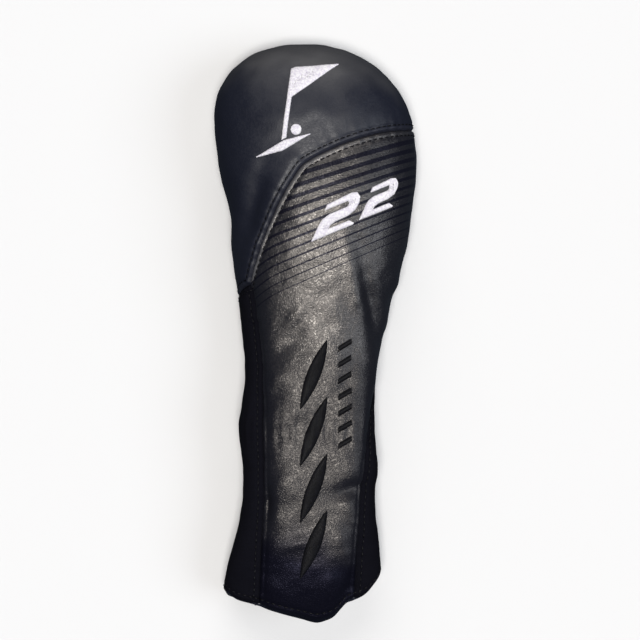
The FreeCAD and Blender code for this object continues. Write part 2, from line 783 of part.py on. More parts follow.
# Topstitching.
row = size("stitch_row_offset")
pieces["seam_stitches_crown"] = make_stitches("seam_stitches_crown", crown_edges, -row)
pieces["seam_stitches_front"] = make_stitches("seam_stitches_front", crown_edges, row)
left_edges = seam_path(
    [corner(c) for c in ("seam_left", "left_seam_waist", "left_hem")],
    {0: ("left_seam_radius", 1), 1: ("left_seam_radius", 1)},
)
right_edges = seam_path(
    [corner(c) for c in ("right_hem", "right_seam_waist", "right_seam_top")],
    {0: ("right_seam_radius", 1), 1: ("right_seam_radius", 1)},
)
hem_edges = seam_path([corner(c) for c in ("left_hem", "hem_low", "hem_fold", "hem_notch")],
                      {0: ("front_hem_radius", -1)})
pieces["side_stitches_left"] = make_stitches("side_stitches_left", left_edges, -row)
pieces["side_stitches_right"] = make_stitches("side_stitches_right", right_edges, -row)
pieces["hem_stitches"] = make_stitches("hem_stitches", hem_edges, 0.0, size("hem_stitch_inset"))
doc.recompute()
doc.recompute()


def meshed_volume(shape):
    """The volume inside a shape's facets, which is steadier than the one from its curved faces."""
    points, facets = shape.tessellate(MESH_TOLERANCE)
    return sum(points[a].dot(points[b].cross(points[c])) for a, b, c in facets) / 6


def check_document():
    """Stops if any object has failed, or if the pieces don't fill their layers."""
    for thing in doc.Objects:
        bad = [state for state in thing.State if state in ("Invalid", "Error")]
        assert not bad, (thing.Name, thing.State)
    for name, piece in pieces.items():
        shape = piece.Shape
        assert not shape.isNull() and shape.isValid() and shape.Solids, name
    for layer, suffix in ((skin_layer, "_panel"), (foam_layer, "_foam")):
        filled = sum(meshed_volume(pieces[zone + suffix].Shape) for zone in zones)
        assert abs(filled / meshed_volume(layer.Shape) - 1) < LAYER_TOLERANCE, (suffix, filled)


def place_pieces():
    """Moves the origin under the middle of the cover, on the surface that it lies on."""
    whole = FreeCAD.BoundBox()
    for piece in pieces.values():
        for point in piece.Shape.tessellate(MESH_TOLERANCE)[0]:
            whole.add(point)
    for name, piece in pieces.items():
        piece.Label = name
        piece.Placement.Base = Vector(-whole.Center.x, -whole.Center.y, -whole.ZMin)
    return whole


check_document()
whole = place_pieces()
os.makedirs("parts", exist_ok=True)
for name, piece in pieces.items():
    piece.Shape.exportStep(f"parts/{name}.step")
    print(f"{name:22s} solids {len(piece.Shape.Solids):3d} faces {len(piece.Shape.Faces):4d} "
          f"volume {piece.Shape.Volume:9.1f}")
print("whole", [round(v, 2) for v in (whole.XLength, whole.YLength, whole.ZLength)])
print("moved", [round(v, 2) for v in (-whole.Center.x, -whole.Center.y, -whole.ZMin)])
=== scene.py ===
"""Golf club head cover: the sewn, padded panels, threads and lining over the CAD frame.

The cover is one grid of rows from the mouth to the tip and columns round the body. Seams are curves
on that grid. The skin is pressed down along them, folded and dented, and every other piece, from the
foam to the last stitch, is placed by the same grid. Working lengths are millimetres from the mouth,
and to_frame() turns them into the frame's metres.
"""
import bpy
import math
import numpy as np
from mathutils.kdtree import KDTree
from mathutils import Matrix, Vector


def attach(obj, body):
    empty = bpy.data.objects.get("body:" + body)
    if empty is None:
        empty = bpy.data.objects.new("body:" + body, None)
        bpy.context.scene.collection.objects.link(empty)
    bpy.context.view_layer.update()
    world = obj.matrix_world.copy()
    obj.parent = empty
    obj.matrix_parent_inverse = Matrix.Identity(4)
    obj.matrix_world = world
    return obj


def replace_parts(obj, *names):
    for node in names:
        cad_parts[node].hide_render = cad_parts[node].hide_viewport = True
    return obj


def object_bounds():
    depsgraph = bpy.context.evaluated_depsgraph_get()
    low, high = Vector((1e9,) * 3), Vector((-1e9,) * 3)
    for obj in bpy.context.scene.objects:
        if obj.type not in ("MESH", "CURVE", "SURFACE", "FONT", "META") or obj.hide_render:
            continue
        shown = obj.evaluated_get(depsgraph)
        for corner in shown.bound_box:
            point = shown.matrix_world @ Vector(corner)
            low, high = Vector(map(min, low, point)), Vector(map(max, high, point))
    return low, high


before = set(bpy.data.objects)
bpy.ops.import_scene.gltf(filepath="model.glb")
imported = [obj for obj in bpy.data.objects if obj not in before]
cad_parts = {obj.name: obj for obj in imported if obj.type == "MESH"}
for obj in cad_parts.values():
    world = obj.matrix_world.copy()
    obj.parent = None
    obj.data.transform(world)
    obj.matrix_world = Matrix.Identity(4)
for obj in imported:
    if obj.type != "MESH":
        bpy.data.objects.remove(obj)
cad_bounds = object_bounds()

MM = 0.001
PITCH = 0.95  # size of a grid cell
TINY = 1e-9

# ---- body form, as the CAD has it

LENGTH = (cad_bounds[1][1] - cad_bounds[0][1]) / MM
CROWN_ALONG = 286.0
SIDE_HEIGHT = 22.0
UPPER_POWER, LOWER_POWER = 2.25, 2.8
CROWN_POWER, HEEL_POWER = 2.15, 3.0
BASE_DIP, BASE_ROUND = 2.5, 1.0
TIP_OFFSET = -6.0
# How much boxier the sleeve's front is on its right and left: most, middle along and half length.
BOXY_RIGHT, BOXY_LEFT = (1.3, 106.0, 50.0), (1.1, 92.0, 60.0)
# Place along, sideways offset, half width and top height of each station.
STATIONS = np.array([
    (0.0, -7.4, 48.3, 38.0),
    (27.0, -7.0, 46.2, 41.0),
    (68.0, -3.5, 39.2, 46.0),
    (91.0, -3.0, 39.6, 48.0),
    (112.0, -5.1, 39.6, 49.0),
    (147.0, -2.1, 39.4, 51.5),
    (190.0, -0.2, 45.4, 56.0),
    (218.0, 2.1, 51.8, 60.0),
    (239.0, 3.2, 53.6, 62.0),
    (260.0, 2.4, 56.8, 62.0),
    (286.0, -0.1, 59.1, 60.0),
])
SKIN, BACKING, FOAM, LINING, BAND = 1.1, 1.7, 4.1, 6.2, 7.1  # depth of each layer's inner face


def hermite(share, start, end, start_slope, end_slope, gap=1.0):
    """A cubic from start to end with the given slopes over a gap."""
    return (
        (1 + 2 * share) * (1 - share) ** 2 * start
        + share**2 * (3 - 2 * share) * end
        + share * (1 - share) ** 2 * gap * start_slope
        + share**2 * (share - 1) * gap * end_slope
    )


def eased(along, places, values):
    """A smooth curve through the given values, level at both ends."""
    slopes = np.zeros(len(places))
    slopes[1:-1] = (values[2:] - values[:-2]) / (places[2:] - places[:-2])
    i = np.clip(np.searchsorted(places, along, side="right") - 1, 0, len(places) - 2)
    gap = places[i + 1] - places[i]
    share = np.clip((along - places[i]) / gap, 0.0, 1.0)
    return hermite(share, values[i], values[i + 1], slopes[i], slopes[i + 1], gap)


def section(along):
    """Sideways offset, half width, height above and depth below the widest line."""
    places = STATIONS[:, 0]
    dome = np.clip((along - CROWN_ALONG) / (LENGTH - CROWN_ALONG), 0.0, 1.0)
    round_off = (1 - dome**CROWN_POWER) ** (1 / CROWN_POWER)
    round_under = (1 - dome**HEEL_POWER) ** (1 / HEEL_POWER)
    offset = eased(along, np.append(places, LENGTH), np.append(STATIONS[:, 1], TIP_OFFSET))
    half = eased(along, places, STATIONS[:, 2]) * round_off
    above = (eased(along, places, STATIONS[:, 3]) - SIDE_HEIGHT) * round_off
    return offset, half, above, (SIDE_HEIGHT + BASE_DIP) * round_under


def upper_power(along, rightward):
    """How boxy the upper side is. The sleeve's front lies flatter than the rest."""
    right, left = (
        most * np.exp(-(((along - middle) / half) ** 4)) for most, middle, half in (BOXY_RIGHT, BOXY_LEFT)
    )
    return UPPER_POWER + np.where(rightward, right, left)


def form(along, angle):
    """Points of the body form. The angle, in degrees, is 0 at the right side and 90 on the front."""
    offset, half, above, below = section(along)
    turn = np.radians(angle)
    upper = np.sin(turn) >= 0
    power = np.where(upper, upper_power(along, np.cos(turn) > 0), LOWER_POWER)
    reach = (np.abs(np.cos(turn)) ** power + np.abs(np.sin(turn)) ** power) ** (-1 / power)
    height = SIDE_HEIGHT + np.where(upper, above, below) * reach * np.sin(turn)
    flat = 0.5 * (height + np.sqrt(height**2 + BASE_ROUND**2))  # pressed flat, with a soft edge
    return np.stack([offset + half * reach * np.cos(turn), along + 0 * turn, flat], axis=-1)


def angle_at(across, along, under=False):
    """The angle of the front's, or the back's, surface over a place seen from the front."""
    offset, half = section(np.asarray(along, float))[:2]
    side = np.clip((across - offset) / np.maximum(half, 1e-6), -0.9995, 0.9995)
    power = LOWER_POWER if under else upper_power(along, side > 0)
    rise = (1 - np.abs(side) ** power) ** (1 / power)
    return np.degrees(np.arctan2(-rise if under else rise, side)) % 360


# ---- outlines seen from the front


def arc(start, end, radius, way, steps=24):
    """Points of an arc from start to just before end, bowed to its left when way is 1."""
    start, end = np.array(start, float), np.array(end, float)
    chord = end - start
    half_chord = np.hypot(*chord) / 2
    left = np.array([-chord[1], chord[0]]) / (2 * half_chord)
    drop = math.sqrt(radius**2 - half_chord**2)
    centre = (start + end) / 2 - left * way * drop
    first = math.atan2(*(start - centre)[::-1])
    sweep = -2 * way * math.asin(half_chord / radius)
    turns = first + sweep * np.arange(steps) / steps
    return centre + radius * np.stack([np.cos(turns), np.sin(turns)], axis=-1)


def line(start, end, steps=24):
    """Points from start to just before end."""
    share = np.arange(steps)[:, None] / steps
    return np.array(start, float) * (1 - share) + np.array(end, float) * share


SEAM_RIGHT, SEAM_CORNER = (58.0, 289.0), (-5.5, 268.6)
SEAM_BEND, SEAM_LEFT = (-8.6, 265.6), (-39.2, 198.0)
LEFT_WAIST, LEFT_HEM = (-31.5, 86.0), (-34.6, 9.2)
RIGHT_HEM, RIGHT_WAIST, RIGHT_TOP = (25.4, 12.0), (30.5, 84.0), (36.0, 135.0)
BACK_RIGHT, BACK_LEFT = -40.0, 220.0  # angles of the back panel's two long seams
BACK_TEMPLE, TEMPLE_ALONG, BACK_TIP = 50.0, 289.0, (0.0, 326.0)
WEDGE_ALONG, GUSSET_TOP = 186.0, 154.0
CROWN_RADIUS, WEDGE_RADIUS, LEFT_RADIUS, RIGHT_RADIUS, TIP_RADIUS = 152.0, 190.0, 700.0, 420.0, 62.0
BELOW_MOUTH = -12.0  # seams run on past the edge of the mouth, so that they reach it everywhere


def on_form(plan, under=False):
    """Turns points seen from the front into (along, angle) pairs."""
    plan = np.asarray(plan)
    return np.stack([plan[:, 1], angle_at(plan[:, 0], plan[:, 1], under)], axis=-1)


def bend(knots, steps=14):
    """A smooth curve of (along, angle) pairs through a few of them."""
    knots = np.array(knots, float)
    place = np.arange(len(knots), dtype=float)
    fine = np.linspace(0, len(knots) - 1, steps * (len(knots) - 1) + 1)
    slopes = np.gradient(knots, axis=0)
    i = np.minimum(fine.astype(int), len(knots) - 2)
    return hermite((fine - place[i])[:, None], knots[i], knots[i + 1], slopes[i], slopes[i + 1])


def crown_front(start, corner_steps):
    """The crown seam's run over the front, from start to just before its left end."""
    return np.concatenate([
        arc(start, SEAM_CORNER, CROWN_RADIUS, -1),
        line(SEAM_CORNER, SEAM_BEND, corner_steps),
        arc(SEAM_BEND, SEAM_LEFT, WEDGE_RADIUS, -1),
    ])


def back_tip():
    """The round end of the back panel, from its right temple to its left one."""
    right, left = (BACK_TEMPLE, TEMPLE_ALONG), (-BACK_TEMPLE, TEMPLE_ALONG)
    return np.concatenate([
        arc(right, BACK_TIP, TIP_RADIUS, -1), arc(BACK_TIP, left, TIP_RADIUS, -1), [left],
    ])


def make_seams():
    """Every seam as a line of (along, angle) pairs."""
    front_of_crown = on_form(np.concatenate([crown_front(SEAM_RIGHT, 6), [SEAM_LEFT]]))
    first, last = front_of_crown[0], front_of_crown[-1]
    right_end = bend([(SEAM_RIGHT[1], BACK_RIGHT), (SEAM_RIGHT[1], -12.0), first])
    left_end = bend([last, (192.0, 182.0), (WEDGE_ALONG, BACK_LEFT)])
    crown = np.concatenate([right_end[:-1], front_of_crown, left_end[1:]])
    left = on_form(np.concatenate([
        arc(SEAM_LEFT, LEFT_WAIST, LEFT_RADIUS, 1),
        arc(LEFT_WAIST, LEFT_HEM, LEFT_RADIUS, 1),
        [LEFT_HEM, (LEFT_HEM[0] - 0.3, LEFT_HEM[1] - 12)],
    ]))
    right_side = on_form(np.concatenate([
        [(RIGHT_HEM[0] - 0.3, RIGHT_HEM[1] - 14)],
        arc(RIGHT_HEM, RIGHT_WAIST, RIGHT_RADIUS, 1),
        arc(RIGHT_WAIST, RIGHT_TOP, RIGHT_RADIUS, 1),
    ]))
    right_top = bend([right_side[-1], (146.0, 2.0), (152.0, -18.0), (GUSSET_TOP, BACK_RIGHT)])
    right = np.concatenate([right_side[:-1], right_top])
    long_seam = TEMPLE_ALONG - 6
    back = np.concatenate([
        line((BELOW_MOUTH, 360 + BACK_RIGHT), (long_seam, 360 + BACK_RIGHT), 80),
        on_form(back_tip(), under=True),
        line((long_seam, BACK_LEFT), (BELOW_MOUTH, BACK_LEFT), 80),
    ])
    return {"crown": crown, "left": left, "right": right, "back": back}


seams = make_seams()

# The edge of the mouth seen from the front, from the left side to the right, and then round the back.
FRONT_HEM = [
    (-54.6, 17.0), (-48.5, 13.0), (-41.0, 10.8), (-34.6, 8.6), (-22.0, 5.2), (-8.0, 1.9), (1.0, 0.0),
    (7.0, 1.0), (12.5, 3.2), (17.0, 7.6), (20.5, 10.8), (25.4, 12.2), (31.0, 15.4), (36.5, 21.0),
    (40.2, 27.5),
]
BACK_HEM = [(20.5, 318.0), (16.0, 296.0), (14.5, 270.0), (14.0, 244.0), (13.5, 218.0)]


def hem_along(angle):
    """How far up the cover the edge of the mouth lies at an angle."""
    front = on_form(np.array(FRONT_HEM))
    places = np.concatenate([front, [(b, a) for b, a in BACK_HEM]])
    order = np.argsort(places[:, 1] % 360)
    alongs, angles = places[order, 0], places[order, 1] % 360
    alongs = np.concatenate([alongs[-3:], alongs, alongs[:3]])
    angles = np.concatenate([angles[-3:] - 360, angles, angles[:3] + 360])
    return eased(np.asarray(angle) % 360, angles, alongs)


# ---- grid

HEM_FADE = 75.0  # rows further from the mouth than this no longer follow its edge
TYPICAL_ALONG, DOME_PROFILE = 225.0, 88.0


def run_of(points):
    """How far along a line each of its points is."""
    return np.concatenate([[0], np.cumsum(np.linalg.norm(np.diff(points, axis=0), axis=1))])


def at_runs(even, run, points):
    """Points of a line at the given distances along it."""
    return np.stack([np.interp(even, run, points[:, k]) for k in range(3)], axis=-1)


def unit(vectors):
    """The same directions with a length of 1."""
    return vectors / np.maximum(np.linalg.norm(vectors, axis=-1, keepdims=True), TINY)


def make_columns():
    """The angle of each column, evenly spaced round a typical section, and its distance round it."""
    fine = np.linspace(BACK_RIGHT, 360 + BACK_RIGHT, 4001)
    run = run_of(form(np.full(fine.shape, TYPICAL_ALONG), fine))
    count = int(run[-1] / PITCH)
    even = np.arange(count) * run[-1] / count
    return np.interp(even, run, fine), even


def make_rows():
    """The place along of each row: even up to the dome, then even round its profile."""
    body = np.arange(0.0, CROWN_ALONG - PITCH / 2, PITCH)
    turns = np.linspace(0, math.pi / 2, int(DOME_PROFILE / PITCH) + 1)
    return np.concatenate([body, CROWN_ALONG + (LENGTH - CROWN_ALONG) * np.sin(turns)])


column_angle, column_run = make_columns()
row_along = make_rows()
ROWS, COLUMNS = len(row_along), len(column_angle)
share_left = 1 - np.clip(row_along / HEM_FADE, 0, 1)
hem_weight = share_left**2 * (3 - 2 * share_left)
along = row_along[:, None] + hem_weight[:, None] * hem_along(column_angle)[None, :]
along = np.minimum(along, LENGTH)
angle = np.repeat(column_angle[None, :], ROWS, axis=0)
base = form(along, angle)


def normals_of(points):
    """Outward directions of a grid of points that closes round its columns."""
    around = np.roll(points, -1, axis=1) - np.roll(points, 1, axis=1)
    ahead = np.gradient(points, axis=0)
    ahead[-1] = points[-1] - points[-2]
    out = np.cross(ahead, around)
    out[-1] = (0.0, 1.0, 0.0)
    return unit(out)


base_normal = normals_of(base)
base_normal *= np.sign(np.median(np.sum(base_normal * (base - base.mean((0, 1))), axis=-1)))


def sample(field, row, column):
    """Values of a grid field between its rows and columns."""
    row = np.clip(row, 0, ROWS - 1.001)
    i, j = np.floor(row).astype(int), np.floor(column).astype(int)
    s, t = row - i, column - np.floor(column)
    if field.ndim == 3:
        s, t = s[..., None], t[..., None]
    j, j_next = j % COLUMNS, (j + 1) % COLUMNS
    low = field[i, j] * (1 - t) + field[i, j_next] * t
    high = field[i + 1, j] * (1 - t) + field[i + 1, j_next] * t
    return low * (1 - s) + high * s


def locate(pairs):
    """The row and column, with fractions, of (along, angle) pairs."""
    pairs = np.asarray(pairs, float)
    turned = (pairs[:, 1] - BACK_RIGHT) % 360 + BACK_RIGHT
    column = np.interp(turned, np.append(column_angle, 360 + BACK_RIGHT), np.arange(COLUMNS + 1))
    row = np.interp(pairs[:, 0], row_along, np.arange(ROWS))
    for _ in range(12):
        miss = pairs[:, 0] - sample(along, row, column)
        row = np.clip(row + 0.9 * miss / PITCH * np.where(pairs[:, 0] < CROWN_ALONG, 1, 0), -20, ROWS)
    return row, column


def over(plan):
    """The row and column over places seen from the front."""
    return locate(on_form(plan))


# ---- seams on the grid

SEAM_STEP = 0.6


def even_line(pairs):
    """A seam as evenly spaced places and angles, with its points on the form."""
    points = form(pairs[:, 0], pairs[:, 1])
    run = run_of(points)
    even = np.arange(0, run[-1], SEAM_STEP)
    return {
        "run": even,
        "along": np.interp(even, run, pairs[:, 0]),
        "angle": np.interp(even, run, pairs[:, 1]),
        "points": at_runs(even, run, points),
    }


seam_lines = {name: even_line(pairs) for name, pairs in seams.items()}


def distance_to_seams():
    """Each grid point's distance to the nearest seam, and how far along that seam it is."""
    names = list(seam_lines)
    spots = np.concatenate([seam_lines[n]["points"] for n in names])
    runs = np.concatenate([seam_lines[n]["run"] for n in names])
    owners = np.concatenate([np.full(len(seam_lines[n]["run"]), k) for k, n in enumerate(names)])
    tree = KDTree(len(spots))
    for number, spot in enumerate(spots):
        tree.insert(spot, number)
    tree.balance()
    flat = base.reshape(-1, 3)
    index = np.array([tree.find(p)[1] for p in flat])
    distance = np.full(len(flat), 1e9)
    for step in (-1, 1):
        other = np.clip(index + step, 0, len(spots) - 1)
        other = np.where(owners[other] == owners[index], other, index)
        start, side = spots[index], spots[other] - spots[index]
        size = np.maximum(np.sum(side**2, axis=1), TINY)
        share = np.clip(np.sum((flat - start) * side, axis=1) / size, 0, 1)
        gap = np.linalg.norm(flat - start - side * share[:, None], axis=1)
        distance = np.minimum(distance, gap)
    shape = (ROWS, COLUMNS)
    return distance.reshape(shape), runs[index].reshape(shape), owners[index].reshape(shape)


seam_distance, seam_run, seam_owner = distance_to_seams()


def inside(polygon, across, upward):
    """Whether points lie in a polygon, by counting the edges that each one is left of."""
    odd = np.zeros(across.shape, bool)
    for (x0, y0), (x1, y1) in zip(polygon, np.roll(polygon, -1, axis=0)):
        if y0 == y1:
            continue
        crosses = (y0 > upward) != (y1 > upward)
        odd ^= crosses & (across < x0 + (upward - y0) * (x1 - x0) / (y1 - y0))
    return odd


def make_regions():
    """Which panel each grid point belongs to."""
    region = np.full((ROWS, COLUMNS), "front", dtype=object)
    crown_line = seams["crown"]
    edge = np.interp(angle, crown_line[:, 1], crown_line[:, 0])
    region[(along > edge) & (angle <= BACK_LEFT)] = "crown"
    left = seams["left"]
    left_angle = np.interp(along, left[::-1, 0], left[::-1, 1])
    region[(along <= edge) & (angle > left_angle) & (angle <= BACK_LEFT)] = "left_side"
    right = seams["right"]
    gusset = np.concatenate([right, [(GUSSET_TOP, BACK_RIGHT - 30), (-40.0, BACK_RIGHT - 30)]])
    low_right = np.where(angle > 180, angle - 360, angle)
    signed = np.where(gusset[:, 1] > 180, gusset[:, 1] - 360, gusset[:, 1])
    region[inside(np.stack([gusset[:, 0], signed], axis=-1), along, low_right)] = "right_side"
    under = (angle > BACK_LEFT) & (angle < 360 + BACK_RIGHT)
    region[under] = "crown"
    far = 90.0
    back = np.concatenate([
        back_tip(), [(-far, TEMPLE_ALONG), (-far, -far), (far, -far), (far, TEMPLE_ALONG)],
    ])
    region[under & inside(back, base[..., 0], base[..., 1])] = "back"
    return region


region = make_regions()

# ---- folds, dents and seams

STITCH_ASIDE, HEM_STITCHES = 3.2, 5.0  # how far the rows of stitches lie from a seam and from the mouth
FLOOR_GAP = 0.05  # the skin stays this far above the floor
FRONT_ABOVE, FRONT_FADE = 14.0, 3.0  # the folds are on the front: they fade out at about this height
lying = np.clip(base[..., 2] / 6.0, 0, 1)  # what it lies on keeps the underside flat


def fold(place, heading, long, wide, high):
    """A rounded ridge, or a hollow when high is negative, at a place seen from the front."""
    turn = math.radians(heading)
    dx, dy = base[..., 0] - place[0], base[..., 1] - place[1]
    u = dx * math.cos(turn) + dy * math.sin(turn)
    v = -dx * math.sin(turn) + dy * math.cos(turn)
    front_only = 1 / (1 + np.exp(-(base[..., 2] - FRONT_ABOVE) / FRONT_FADE))
    return high * np.exp(-((u / long) ** 2) - (v / wide) ** 2) * front_only


def waves(seed, count, shortest, longest):
    """A smooth uneven field over the grid, about 1 at its most, made of crossing waves."""
    draw = np.random.default_rng(seed)
    field = np.zeros((ROWS, COLUMNS))
    for _ in range(count):
        heading = draw.normal(size=3)
        heading /= np.linalg.norm(heading)
        wavelength = draw.uniform(shortest, longest)
        phase = draw.uniform(0, 2 * math.pi)
        field += np.sin(base @ heading * (2 * math.pi / wavelength) + phase)
    return field / math.sqrt(count)


# Place, heading in degrees, half length, half width and height of each fold on the front.
FOLDS = [
    ((-38.0, 242.0), 72, 25, 6.5, -3.8),  # hollow beside the crown seam's long side
    ((-46.0, 234.0), 80, 18, 4.0, 0.5),
    ((-20.0, 272.0), 55, 12, 7.0, -0.7),
    ((24.5, 196.0), -79, 32, 5.5, 1.7),  # crease down the right of the head
    ((32.5, 187.0), -77, 27, 4.8, -2.6),
    ((39.5, 180.0), -75, 18, 3.5, 1.0),
    ((47.0, 199.0), -60, 7, 5.0, 1.2),
    ((-10.6, 181.0), 52, 15, 3.6, 1.0),  # slanting folds under the stripes
    ((-22.0, 160.0), 48, 22, 8.0, -1.7),
    ((-4.0, 150.0), 55, 20, 7.0, 0.8),
    ((-24.0, 132.0), 35, 16, 5.0, -1.2),
    ((-14.0, 122.0), 28, 18, 5.0, 1.0),
    ((20.0, 148.0), 70, 18, 6.0, -0.8),
    ((30.0, 114.0), 88, 42, 9.0, 1.2),  # the right of the sleeve stays nearly flat
    ((-16.5, 83.0), 10, 12, 8.0, 1.5),  # swell at the waist of the sleeve
    ((21.5, 79.0), 14, 12, 5.0, -2.8),
    ((24.0, 64.0), -66, 15, 5.0, 1.1),
    ((-28.5, 70.0), 88, 11, 3.6, -3.2),
    ((6.0, 62.0), 20, 16, 6.0, -0.8),
    ((-14.0, 47.0), 2, 24, 4.5, 0.9),  # crease over the mouth
    ((19.0, 44.0), -62, 15, 6.0, 1.4),
    ((-24.0, 30.0), 20, 18, 7.0, -1.0),
    ((8.0, 22.0), 80, 14, 6.0, 0.9),
    ((20.0, 20.0), 65, 13, 4.0, -1.6),
    ((-34.0, 22.0), 75, 14, 4.0, 0.8),
]
MOUTH_SAG, MOUTH_SAG_ALONG = 9.0, 44.0
NECK_ALONG, NECK_SPREAD, RIB_PITCH = 113.0, 11.0, 7.3  # where the elastic gathers the padding


def soft_shape():
    """How far the padded surface stands from the form, without its seams."""
    shape = sum(fold(*f) for f in FOLDS)
    shape = shape + 0.38 * waves(3, 16, 34, 80) + 0.16 * waves(5, 22, 9, 20)  # broad, then fine
    sag = np.clip((MOUTH_SAG_ALONG - base[..., 1]) / MOUTH_SAG_ALONG, 0, 1)
    top = np.clip(np.sin(np.radians(angle)), 0, 1) ** 0.5
    shape = shape - MOUTH_SAG * sag**2.2 * top
    gather = np.exp(-(((along - NECK_ALONG) / NECK_SPREAD) ** 2)) * (1 - 0.75 * top)
    ribs = np.sin(column_run * 2 * math.pi / RIB_PITCH)[None, :]
    shape = shape + gather * (0.55 * ribs - 0.5)
    return shape * lying


def seam_press(distance, gusset, clear):
    """The dip that a seam and its topstitching pull into the padded skin.

    gusset is 1 at the side seams, and clear is 1 where the skin is well off the floor.
    """
    dip = (
        -(2.1 - 0.9 * gusset) * np.exp(-((distance / 0.95) ** 2))  # the seam itself
        + 0.4 * (1 - gusset) * np.exp(-(((distance - 1.7) / 0.8) ** 2))  # the ridge beside it
        - (0.8 - 0.3 * gusset) * np.exp(-(((distance - STITCH_ASIDE) / 0.8) ** 2))  # the stitches
    )
    return dip * (0.25 + 0.75 * clear)


def puckers():
    """Small gathers along the seams."""
    draw = np.random.default_rng(11)
    field = np.zeros((ROWS, COLUMNS))
    for owner in range(len(seam_lines)):
        for wavelength in (6.1, 8.7, 13.0):
            wave = np.sin(seam_run * 2 * math.pi / wavelength + draw.uniform(0, 6.28))
            field += np.where(seam_owner == owner, wave, 0)
    return 0.19 * field * np.exp(-seam_distance / 5.0) * lying


def blurred(field, times):
    """A grid field evened out between neighbouring points."""
    for _ in range(times):
        field = (field + np.roll(field, 1, axis=1) + np.roll(field, -1, axis=1)) / 3
        field[1:-1] = (field[:-2] + field[1:-1] + field[2:]) / 3
    return field


def shoulders():
    """The slow fall of the padding towards each seam, deeper at the side seams."""
    fall = np.exp(-seam_distance / 7.0) * (1 - side_seam)
    return -fall - 3.1 * np.exp(-((seam_distance / 6.5) ** 1.5)) * side_seam * lying


def hem_roll():
    """The turn inwards at the edge of the mouth, and the dip along its stitching."""
    from_edge = np.repeat(row_along[:, None], COLUMNS, axis=1)
    turn_in = -2.6 * np.exp(-((from_edge / 1.9) ** 2))
    return turn_in - 0.45 * np.exp(-((from_edge - HEM_STITCHES) ** 2))


side_names = [list(seam_lines).index(name) for name in ("left", "right")]
side_seam = blurred(np.isin(seam_owner, side_names).astype(float), 8)
soft = soft_shape() + puckers() + shoulders()
rest = soft + hem_roll()
facing_up = np.clip(2.0 * np.abs(base_normal[..., 2]), 0, 1)
off_floor = np.clip(base[..., 2] / 3.0, 0, 1) * (0.3 + 0.7 * facing_up)
skin = base + base_normal * (rest + seam_press(seam_distance, side_seam, off_floor))[..., None]
skin[..., 2] = np.maximum(skin[..., 2], FLOOR_GAP)
skin_normal = normals_of(skin)
skin_normal *= np.sign(np.sum(skin_normal * base_normal, axis=-1, keepdims=True) + TINY)

centre = (base.reshape(-1, 3).min(0) + base.reshape(-1, 3).max(0)) / 2
middle = [(cad_bounds[0][k] + cad_bounds[1][k]) / 2 for k in range(2)]
SHIFT = np.array([middle[0] / MM - centre[0], cad_bounds[0][1] / MM, 0.0])


def to_frame(points):
    """Millimetres from the mouth to the frame's metres."""
    return (np.asarray(points) + SHIFT) * MM


# ---- meshes


def new_object(name, data):
    """A new object in the scene."""
    made = bpy.data.objects.new(name, data)
    bpy.context.scene.collection.objects.link(made)
    return made


def add_mesh(name, points, faces, material):
    """A new piece from points in millimetres, riding on the cover's only body."""
    mesh = bpy.data.meshes.new(name)
    mesh.from_pydata([tuple(p) for p in to_frame(points)], [], [tuple(f) for f in faces])
    mesh.polygons.foreach_set("use_smooth", [True] * len(mesh.polygons))
    mesh.validate()
    mesh.materials.append(material)
    piece = new_object(name, mesh)
    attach(piece, "root")
    return piece


def store(piece, name, values):
    """Keeps a number for each point of a piece, for its material to read."""
    numbers = piece.data.attributes.new(name, "FLOAT", "POINT")
    numbers.data.foreach_set("value", np.asarray(values, dtype=np.float32))


def clip(level, first, last):
    """The part of the grid where level is above 0, as rows, columns, edge marks and faces."""
    last = ROWS - 1 if last is None else last
    number = np.arange(ROWS * COLUMNS).reshape(ROWS, COLUMNS)
    number[-1] = number[-1, 0]
    cells = np.arange(first, last)
    right = np.roll(number, -1, axis=1)
    corners = np.stack([number[cells], right[cells], right[cells + 1], number[cells + 1]], axis=-1)
    corners = corners.reshape(-1, 4)
    above = (level > 0).ravel()
    count = above[corners].sum(axis=1)
    faces = [[v for k, v in enumerate(c) if v != c[k - 1]] for c in corners[count == 4]]
    used, rows, columns, marks, cut = {}, [], [], [], {}
    flat = level.ravel()

    def point(vertex):
        if vertex not in used:
            used[vertex] = len(rows)
            rows.append(vertex // COLUMNS)
            columns.append(vertex % COLUMNS)
            marks.append(False)
        return used[vertex]

    def crossing(a, b):
        key = (min(a, b), max(a, b))
        if key not in cut:
            cut[key] = len(rows)
            share = flat[a] / (flat[a] - flat[b])
            row_a, row_b, col_a, col_b = a // COLUMNS, b // COLUMNS, a % COLUMNS, b % COLUMNS
            if abs(col_a - col_b) > COLUMNS / 2:
                col_a, col_b = (col_a + COLUMNS, col_b) if col_a < col_b else (col_a, col_b + COLUMNS)
            rows.append(row_a + share * (row_b - row_a))
            columns.append(col_a + share * (col_b - col_a))
            marks.append(True)
        return cut[key]

    made = [[point(v) for v in face] for face in faces]
    for c in corners[(count > 0) & (count < 4)]:
        outline = []
        for k in range(4):
            a, b = c[k], c[(k + 1) % 4]
            if a == b:
                continue
            if above[a]:
                outline.append(point(a))
            if above[a] != above[b]:
                outline.append(crossing(a, b))
        if len(set(outline)) > 2:
            made.append(outline)
    return np.array(rows, float), np.array(columns, float), np.array(marks), made


def closed(outer, inner, faces):
    """Points and faces of a closed layer between two matching surfaces."""
    shift = len(outer)
    count = {}
    for face in faces:
        for a, b in zip(face, face[1:] + face[:1]):
            count[(a, b)] = count.get((a, b), 0) + 1
    rim = [(b, a, a + shift, b + shift) for a, b in count if (b, a) not in count]
    back = [[v + shift for v in reversed(face)] for face in faces]
    return np.concatenate([outer, inner]), faces + back + rim


